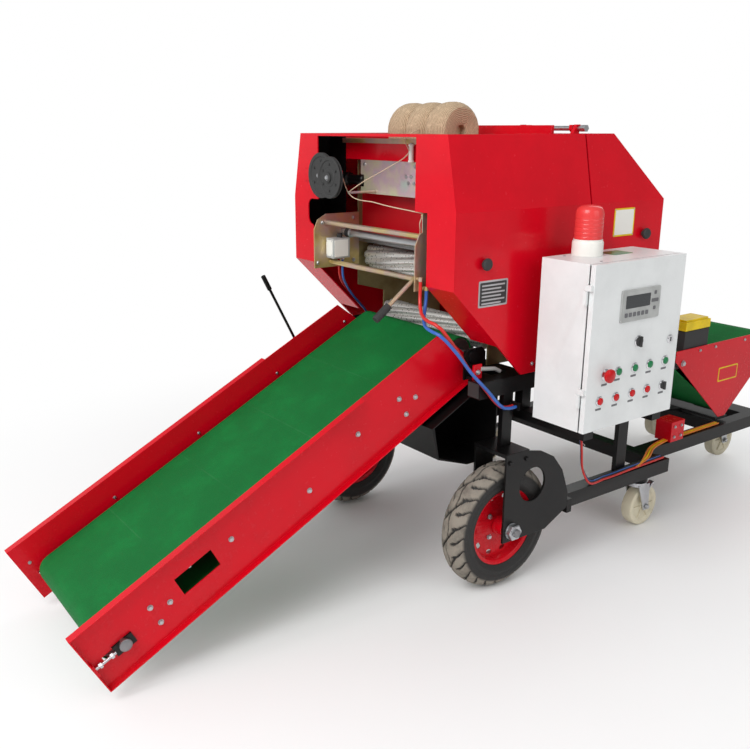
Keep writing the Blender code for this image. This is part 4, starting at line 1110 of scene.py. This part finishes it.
    def valve(self) -> None:
        """Air valve: body, port caps, solenoid and white label face."""
        body = [box((-257.4, -190, 965), (-215, -125, 1030), Finish.GREY_PLASTIC),
                box((-254, -192.5, 972), (-219, -189, 1024), Finish.WHITE_PLASTIC),
                box((-216, -186, 970), (-213.5, -132, 1025), Finish.WHITE_PLASTIC),
                turned([(9, 1029), (9, 1042), (7, 1044)], (-238, -150, 0), "Z", Finish.BLACK_PLASTIC, 24)]
        for x in (-250, -229):
            body.append(turned([(6.5, 958), (6.5, 966)], (x, -145, 0), "Z", Finish.CHROME, 6))
        for x, z in ((-250, 976), (-223, 976), (-250, 1020), (-223, 1020)):
            body.append(turned([(2, -192), (2, -194)], (x, 0, z), "Y", Finish.ZINC, 10))
        put("air_valve", body, stands_for=["valve_block"], bevel=0.6)

    def lever(self) -> None:
        """Hand lever with a boss, bent rod and ribbed grip."""
        route = smooth_route(((246, -200, 985), (246, -255, 944), (246, -330, 887)), 12.0)
        grip = np.linspace((246, -316, 897.5), (246, -362, 863), 9)
        made = [turned([(10, 238), (14, 240), (14, 257.4)], (0, -200, 985), "X", Finish.ZINC, 32),
                tube(route, 6.0, Finish.GOLD, 14), tube(grip, 11.0, Finish.BLACK_PLASTIC, 20)]
        made += [tube([p - (grip[1] - grip[0]) * 0.12, p + (grip[1] - grip[0]) * 0.12], 12.0,
                      Finish.BLACK_PLASTIC, 20) for p in grip[1:-1]]
        put("hand_lever_bent", made, stands_for=["hand_lever"])


@dataclass
class Cabinet:
    """Control cabinet: door with display, switches and lock, and the warning lamp on its roof."""

    face: float = 657.0
    y0: float = 55.0
    y1: float = 450.0
    z0: float = 558.0
    z1: float = 1030.0
    upper: Tuple[Tuple[float, Finish], ...] = ((184, Finish.GREEN_PLASTIC), (256, Finish.GREEN_PLASTIC),
                                               (324, Finish.GREEN_PLASTIC), (396, Finish.GREEN_PLASTIC))
    lower: Tuple[Tuple[float, Finish], ...] = ((112, Finish.RED_PLASTIC), (182, Finish.RED_PLASTIC),
                                               (253, Finish.RED_PLASTIC), (322, Finish.RED_PLASTIC),
                                               (394, Finish.BLACK_PLASTIC))
    lamp: Tuple[float, float] = (512.0, 189.0)

    def button(self, y: float, z: float, cap: Finish) -> List[Shape]:
        """Panel button: chrome ring and a low domed cap."""
        x = self.face
        ring = [(14.5, 0), (14.5, 3), (12.5, 5), (10.5, 5)]
        dome = [(10.5, 3), (10.5, 7), (8.5, 8.6), (4, 9.4)]
        made = [turned(ring, (x, y, z), "X", Finish.CHROME, 32), turned(dome, (x, y, z), "X", cap, 32)]
        return made + self.tag(y, z)

    def tag(self, y: float, z: float) -> List[Shape]:
        """A blank strip under a control, left without words."""
        return [prism(rounded(y - 13, y + 11, z - 27, z - 21, 1.5), self.face, self.face + 0.5, "X", Finish.INK)]

    def stop(self, y: float, z: float) -> List[Shape]:
        """Red mushroom stop with a yellow collar."""
        collar = [(17, 0), (17, 3), (13, 5), (10, 9)]
        head = [(9, 9), (18, 12), (20, 17), (19, 22), (13, 25), (5, 26)]
        return [turned(collar, (self.face, y, z), "X", Finish.CHROME, 36),
                turned(head, (self.face, y, z), "X", Finish.RED_PLASTIC, 40)] + self.tag(y, z - 5)

    def selector(self, y: float, z: float, size: float) -> List[Shape]:
        """Rotary switch with a bar handle."""
        x = self.face
        return [turned([(size, 0), (size, 3), (size - 2, 5)], (x, y, z), "X", Finish.CHROME, 36),
                turned([(size - 3, 4), (size - 3, 8), (size - 5, 9)], (x, y, z), "X", Finish.BLACK_PLASTIC, 32),
                box((x + 8, y - 3, z - size + 2), (x + 15, y + 3, z + size - 2), Finish.BLACK_PLASTIC)]

    def display(self) -> List[Shape]:
        """Operator display: grey bezel, dark glass and a row of soft keys."""
        x = self.face
        made = [prism(rounded(170, 338, 860, 950, 5), x, x + 5, "X", Finish.GREY_PLASTIC),
                prism(rounded(176, 332, 866, 944, 4), x + 4, x + 6, "X", Finish.GREY_PLASTIC),
                prism(rounded(186, 292, 898, 934, 2), x + 5.5, x + 6.6, "X", Finish.SCREEN)]
        for k in range(6):
            y = 190 + 18 * k
            made.append(prism(rounded(y - 6, y + 6, 874, 886, 2), x + 5.5, x + 7.2, "X", Finish.INK))
        for dy, dz in ((0, 0), (0, 22), (0, -22), (-10, 0), (10, 0)):
            made.append(prism(rounded(308 + dy, 318 + dy, 906 + dz, 916 + dz, 2), x + 5.5, x + 7.2, "X", Finish.INK))
        return made

    def front(self) -> None:
        """Everything that rides on the door."""
        made = self.display() + self.stop(129, 719)
        for y, cap in self.upper:
            made += self.button(y, 720, cap)
        for y, cap in self.lower[:4]:
            made += self.button(y, 645, cap)
        made += self.selector(self.lower[4][0], 645, 14.0) + self.tag(394, 645)
        made += self.selector(262, 797, 17.0)
        made += [turned([(13, 0), (13, 3), (11, 5)], (self.face, 410, 783), "X", Finish.CHROME, 28),
                 box((self.face + 4, 408.6, 777), (self.face + 6, 411.4, 789), Finish.BLACK)]
        put("door_controls", made, body="door")

    def beacon(self) -> None:
        """Warning lamp: ribbed lens on a stepped base with a bulb seat."""
        x, y, z = *self.lamp, self.z1
        base = [(44, z + 0.3), (44, z + 36), (42.5, z + 40), (41, z + 41), (41, z + 46)]
        put("lamp_base", [turned(base, (x, y, 0), "Z", Finish.WHITE_PLASTIC, 56)], stands_for=["beacon_base"])
        high = np.concatenate([np.linspace(46.3, 112, 34), [118, 124, 129, 134, 138, 140.5]])
        wide = np.concatenate([np.full(34, 40.0), [39.5, 38.5, 36.5, 32, 24, 10]])
        lens = [(r, z + h) for r, h in zip(wide, high)]
        put("lamp_lens", [turned(lens, (x, y, 0), "Z", Finish.LENS, 72,
                                 lambda w, a, r: r - 1.1 * (r > 36) * (0.5 + 0.5 * np.sin(w * 36))
                                 - 0.9 * (r > 39.8) * (np.abs((a - z) % 12 - 6) < 1))],
            stands_for=["beacon_lens"])

    def build(self) -> None:
        """Build the cabinet."""
        soften("cabinet_shell", 1.5)
        soften("cabinet_door", 2.0)
        self.front()
        self.beacon()
        roof = [turned([(4, 0), (4, 1.6), (2, 2.4)], (490 + dx, 120 + dy, self.z1), "Z", Finish.ZINC, 12)
                for dx, dy in ((0, 0), (130, 0))]
        pad = rounded(500, 561, 250, 335, 8)
        roof.append(prism(pad, self.z1, self.z1 + 0.8, "Z", Finish.GREEN_PLASTIC))
        put("roof_trim", roof)
        glands = []
        for k, y in enumerate((250, 275, 300, 325)):
            glands.append(turned([(9, 558), (9, 552), (11, 552), (11, 542), (7, 540)], (520 + 18 * (k % 2), y, 0), "Z",
                                 Finish.BLACK_PLASTIC, 8))
        put("cable_glands", glands)


@dataclass
class Wheels:
    """Transport wheels with block tread and slotted red rims, and nylon casters."""

    places: Tuple[Tuple[float, str], ...] = ((1.0, "r"), (-1.0, "l"))
    x: float = 390.0
    radius: float = 200.0
    half: float = 50.0
    casters: Tuple[Tuple[float, float, str], ...] = ((389, 700, "mid_r"), (-389, 700, "mid_l"), (155, 1560, "rear_r"),
                                                     (-155, 1560, "rear_l"))

    def tread(self, w: np.ndarray, a: np.ndarray, r: np.ndarray) -> np.ndarray:
        """Groove mask: curved chevron grooves that sweep back from the middle, and a middle zigzag."""
        across = a / self.half
        lead = w + 0.24 * np.abs(across) ** 1.4 + 0.025 * np.sin(across * 7)
        teeth = np.abs(((lead * 26 / (2 * math.pi)) % 1.0) - 0.5) < 0.10
        sweep = np.abs(((w * 13 / (2 * math.pi) + 0.8 * across) % 1.0) - 0.5) < 0.06
        middle = np.abs(a - 4 * np.sin(w * 13)) < 1.8
        return ((teeth & (np.abs(across) > 0.30)) | middle | (sweep & (np.abs(across) < 0.55))).astype(float)

    def tyre(self, side: float, tag: str) -> None:
        """Tyre: crowned tread cut by grooves, rounded shoulder, side wall with bead rings."""
        w, r = self.half, self.radius
        turn = np.linspace(-1, 1, 41)
        tread = [(r - 22 * np.abs(t) ** 3.0, t * (w - 7)) for t in turn]
        wall = [(170, w - 2), (160, w), (157, w), (155.5, w - 1.2), (145, w - 0.6), (142, w + 0.0), (138, w - 2),
                (130, w - 8), (124, w - 12)]
        line = [(rr, -a) for rr, a in reversed(wall)] + tread + wall

        def cut(ang: np.ndarray, a: np.ndarray, rad: np.ndarray) -> np.ndarray:
            return rad - 7.0 * (rad > 171) * self.tread(ang, a, rad)

        def top(ang: np.ndarray, a: np.ndarray, rad: np.ndarray) -> np.ndarray:
            return (rad > 171) * (1 - self.tread(ang, a, rad))

        put("treaded_tyre_" + tag, [turned(line, (side * self.x, 0, r), "X", Finish.TYRE, 312, cut, True, top)],
            stands_for=["tyre_" + tag], smooth=50)

    def rim(self, side: float, tag: str) -> None:
        """Rim: barrel, dished disc with a ring of slots, hub with nuts."""
        s, rr, c = side, 123.7, (side * self.x, 0, self.radius)
        barrel = [(rr, -36), (rr, -33), (116, -28), (112, -20), (112, 20), (116, 28), (rr, 33), (rr, 36),
                  (rr - 4, 36), (112, 31), (108, 20), (108, -20), (112, -31), (rr - 4, -36)]
        made = [turned([(a, b * s) for a, b in barrel], c, "X", Finish.RED, 72, loop=True)]
        ring = np.arange(48) * 2 * math.pi / 48
        edge = np.column_stack([np.cos(ring), np.sin(ring)])
        holes = []
        for k in range(10):
            w0 = 2 * math.pi * k / 10
            slot = rounded(-7, 7, -11, 11, 6)
            turn = np.array([[math.cos(w0), math.sin(w0)], [-math.sin(w0), math.cos(w0)]])
            holes.append((slot + (92, 0)) @ turn)
        lo, hi = sorted((s * self.x + s * 4, s * self.x + s * 7))
        disc = cut_plate([edge * 109 + (0, 0)] + holes + [edge * 25], lo, hi, "X", Finish.RED)
        disc = disc.mapped(lambda p: p + np.array([0, 0, self.radius]))
        dish = disc.points.copy()
        reach = np.hypot(dish[:, 1], dish[:, 2] - self.radius)
        dish[:, 0] += s * 7 * np.clip((70 - reach) / 40, 0, 1)
        disc.points = dish
        made.append(disc)
        hub = [(15.5, -45), (26, -45), (26, 12), (30, 16), (30, 24), (26, 26), (26, 48), (24, 50), (15.5, 50)]
        made.append(turned([(a, b * s) for a, b in hub], c, "X", Finish.RED, 40, loop=True))
        for k in range(4):
            w0 = math.radians(45 + 90 * k)
            made += bolt((s * self.x + s * 10, 48 * math.cos(w0), self.radius + 48 * math.sin(w0)), "X", 13, s)
        put("slotted_rim_" + tag, made, stands_for=["rim_" + tag], bevel=0.0)

    def caster(self, x: float, y: float, tag: str) -> None:
        """Caster: zinc fork with pressed edges, brake tab, and a cream wheel with a webbed disc."""
        soften("caster_fork_" + tag, 0.8)
        yw = y + 26
        fork: List[Shape] = []
        for s in (1, -1):
            fork += bolt((x + s * 34, yw, 75), "X", 15, s)
            fork.append(prism([(yw + 6, 118), (yw + 30, 150), (yw + 44, 158), (yw + 48, 153), (yw + 30, 140),
                               (yw + 12, 112)], x + s * 14 - 10, x + s * 14 + 10, "X", Finish.ZINC))
        put("caster_brake_" + tag, fork, body="fork_" + tag, bevel=0.4)
        h = 22
        line = [(6.5, -h - 1), (16, -h - 1), (18, -h + 3), (21, -h + 6), (50, -h + 6), (56, -h + 1), (66, -h),
                (73, -h + 3), (75, -h + 9), (75, h - 9), (73, h - 3), (66, h), (56, h - 1), (50, h - 6), (21, h - 6),
                (18, h - 3), (16, h + 1), (6.5, h + 1)]
        made = [turned(line, (x, yw, 75), "X", Finish.NYLON, 48, loop=True)]
        for k in range(6):
            w0 = math.pi * k / 3
            c, s = math.cos(w0), math.sin(w0)
            for side in (1, -1):
                web = np.array([(20, -2), (54, -2), (54, 2), (20, 2)])
                flat = np.column_stack([web[:, 0] * c - web[:, 1] * s + yw, web[:, 0] * s + web[:, 1] * c + 75])
                made.append(prism(flat, *sorted((x + side * 15, x + side * 20)), "X", Finish.NYLON))
        put("caster_roll_" + tag, made, stands_for=["caster_wheel_" + tag], bevel=0.0)

    def build(self) -> None:
        """Build all wheels."""
        for side, tag in self.places:
            self.tyre(side, tag)
            self.rim(side, tag)
        for spec in self.casters:
            self.caster(*spec)


@dataclass
class Undercarriage:
    """Black frame with its pan and wheel brackets, tube caps, pins, cables and loom."""

    axle_x: float = 480.0
    radius: float = 200.0

    def axle_ends(self) -> List[Shape]:
        """Castle nut, washer and split pin at each end of the axle."""
        made: List[Shape] = []
        for s in (1, -1):
            made.append(turned([(26, s * 460.5), (26, s * 463)], (0, 0, self.radius), "X", Finish.ZINC, 32))
            made.append(turned([(26.5, s * 463), (26.5, s * 478), (23, s * 481)], (0, 0, self.radius), "X",
                               Finish.ZINC, 6))
            made.append(turned([(13, s * 480), (13, s * 487), (10, s * 489)], (0, 0, self.radius), "X",
                               Finish.STEEL, 24))
            made.append(tube([(s * 484, -17, self.radius), (s * 484, 17, self.radius)], 2.2, Finish.ZINC, 8))
        return made

    def caps(self) -> List[Shape]:
        """Black plastic caps in the open ends of the square tubes."""
        made: List[Shape] = []
        for s in (1, -1):
            x0, x1 = sorted((s * 353, s * 397.7))
            made.append(box((x0, -102, 623), (x1, -99.5, 667), Finish.BLACK_PLASTIC))
            x0, x1 = sorted((s * 383, s * 427))
            made.append(box((x0, 821, 193), (x1, 824, 237), Finish.BLACK_PLASTIC))
            x0, x1 = sorted((s * 283, s * 327))
            made.append(box((x0, 1605, 193), (x1, 1608, 237), Finish.BLACK_PLASTIC))
        return made

    def loom(self) -> List[Shape]:
        """Cables from the cabinet down the post and back along the lower rail, with cable ties."""
        looks = (Finish.HOSE_RED, Finish.BLACK_PLASTIC, Finish.HOSE_BLUE, Finish.BLACK_PLASTIC)
        made: List[Shape] = []
        for k, look in enumerate(looks):
            d = 7.0 * k
            route = ((520 + 18 * (k % 2), 250 + 25 * k, 545), (500 - d, 262 + 18 * k, 500), (455 - d, 300 + d, 455),
                     (436 - d, 330 + d, 380), (432 - d, 350 + d, 300), (434 - d, 380 + d, 256),
                     (428 - d, 470 + d, 246.0), (424 - d, 620, 245.5), (420 - d, 800, 245.5))
            made.append(tube(smooth_route(route, 14.0), 3.6, look, 10))
        for y, z in ((330, 400), (352, 300)):
            made.append(tube([(442, y + 4, z), (404, y + 24, z)], 1.6, Finish.WHITE_PLASTIC, 8))
        return made

    def rear_cables(self) -> List[Shape]:
        """Orange and yellow leads on the wrapper rail."""
        made: List[Shape] = []
        for k, look in enumerate((Finish.ORANGE_PLASTIC, Finish.YELLOW_PLASTIC, Finish.ORANGE_PLASTIC)):
            d = 8.0 * k
            route = ((424, 640 + 10 * k, 246), (400 - d, 740, 250), (345 - d, 850, 248), (322 - d, 950, 246),
                     (318 - d, 1100, 245), (316 - d, 1300, 245))
            made.append(tube(smooth_route(route, 16.0), 3.4, look, 10))
        return made

    def build(self) -> None:
        """Build the frame's looks."""
        for node, width in (("main_frame", 1.5), ("front_pan", 0.8), ("wheel_bracket_r", 1.0),
                            ("wheel_bracket_l", 1.0), ("head_bracket_r", 0.8), ("head_bracket_l", 0.8)):
            soften(node, width)
        put("axle_ends", self.axle_ends(), bevel=0.4)
        put("tube_caps", self.caps(), bevel=0.8)
        put("cable_loom", self.loom())
        put("rear_cables", self.rear_cables())
        lever = [box((352, -86, 670), (358, -53, 713), Finish.RED),
                 tube([(356, -58, 668 + 30), (356, 0, 690), (356, 22, 672.5 + 6)], 6.5, Finish.GREY_PLASTIC, 14)]
        lever += bolt((358, -70, 690), "X", 12, 1)
        put("deck_catch", lever, bevel=0.6)
        seats: List[Shape] = []
        for s in (1, -1):
            for y, z in ((60 - 12, 425), (-20, 425)):
                seats += bolt((s * 460, y, z), "X", 12, s, Finish.BLACK)
        put("bracket_bolts", seats, bevel=0.4)


@dataclass
class Wrapper:
    """Wrapping table: side panels, belt cradle, rollers, motor box and the drive under it."""

    centre: float = 1341.0
    half: float = 348.0

    def build(self) -> None:
        """Build the table."""
        for node, width in (("table_panel_r", 1.0), ("table_panel_l", 1.0), ("table_base", 1.0), ("table_belt", 0.6),
                            ("drive_box", 1.5)):
            soften(node, width)
        for node, y in (("table_roller_front", self.centre - self.half + 45),
                        ("table_roller_rear", self.centre + self.half - 45)):
            line = [(10, -295.7), (10, -278), (27.5, -278), (28.5, -276), (28.5, 276), (27.5, 278), (10, 278),
                    (10, 295.7)]
            put(node + "_turned", [turned(line, (0, y, 530), "X", Finish.STEEL, 40)], stands_for=[node])
        y0, y1 = self.centre - 301, self.centre - 146
        motor = [box((207, y0 + 2, 570), (294, y1 - 2, 648), Finish.BLACK_PLASTIC),
                 box((205, y0, 650), (295.7, y1, 683), Finish.YELLOW_PLASTIC),
                 box((212, y0 + 8, 682), (289, y1 - 8, 690), Finish.YELLOW_PLASTIC)]
        motor += [box((205, y0 + 12 + 14 * k, 580), (208, y0 + 19 + 14 * k, 640), Finish.BLACK_PLASTIC)
                  for k in range(10)]
        put("table_motor_cover", motor, stands_for=["table_motor_box"], bevel=1.6)
        trim: List[Shape] = []
        for s in (1, -1):
            for y in (self.centre - self.half + 45, self.centre + self.half - 45):
                trim += bolt((s * 300, y, 530), "X", 17, s)
            for y in (1140, 1240, 1440, 1540):
                trim += bolt((s * 300, y, 566), "X", 9, s)
        edge = rounded(1283, 1413, 415, 473, 5)
        trim.append(prism(edge, 300, 300.6, "X", Finish.YELLOW_PLASTIC))
        trim.append(prism(rounded(1288, 1408, 420, 468, 4), 300.3, 301.0, "X", Finish.RED))
        put("table_fastenings", trim, body="table", bevel=0.3)
        drive: List[Shape] = []
        for y, z in ((980, 300), (1020, 300), (980, 260), (1020, 260)):
            drive += bolt((335, y, z), "X", 9, 1)
        put("drive_bolts", drive, bevel=0.3)


# ---------------------------------------------------------------- whole machine
def main() -> None:
    """Build the looks of the whole machine."""
    logging.basicConfig(level=logging.INFO)
    studio = Studio()
    studio.camera()
    Hoses().build()
    dress_frame()
    for part in (Housing(), TwineGear(), FeedRollers(), Conveyor(), Cabinet(), Wheels(), Undercarriage(), Wrapper()):
        part.build()
    studio.light()
    bpy.context.view_layer.update()


if __name__ == "__main__":
    main()
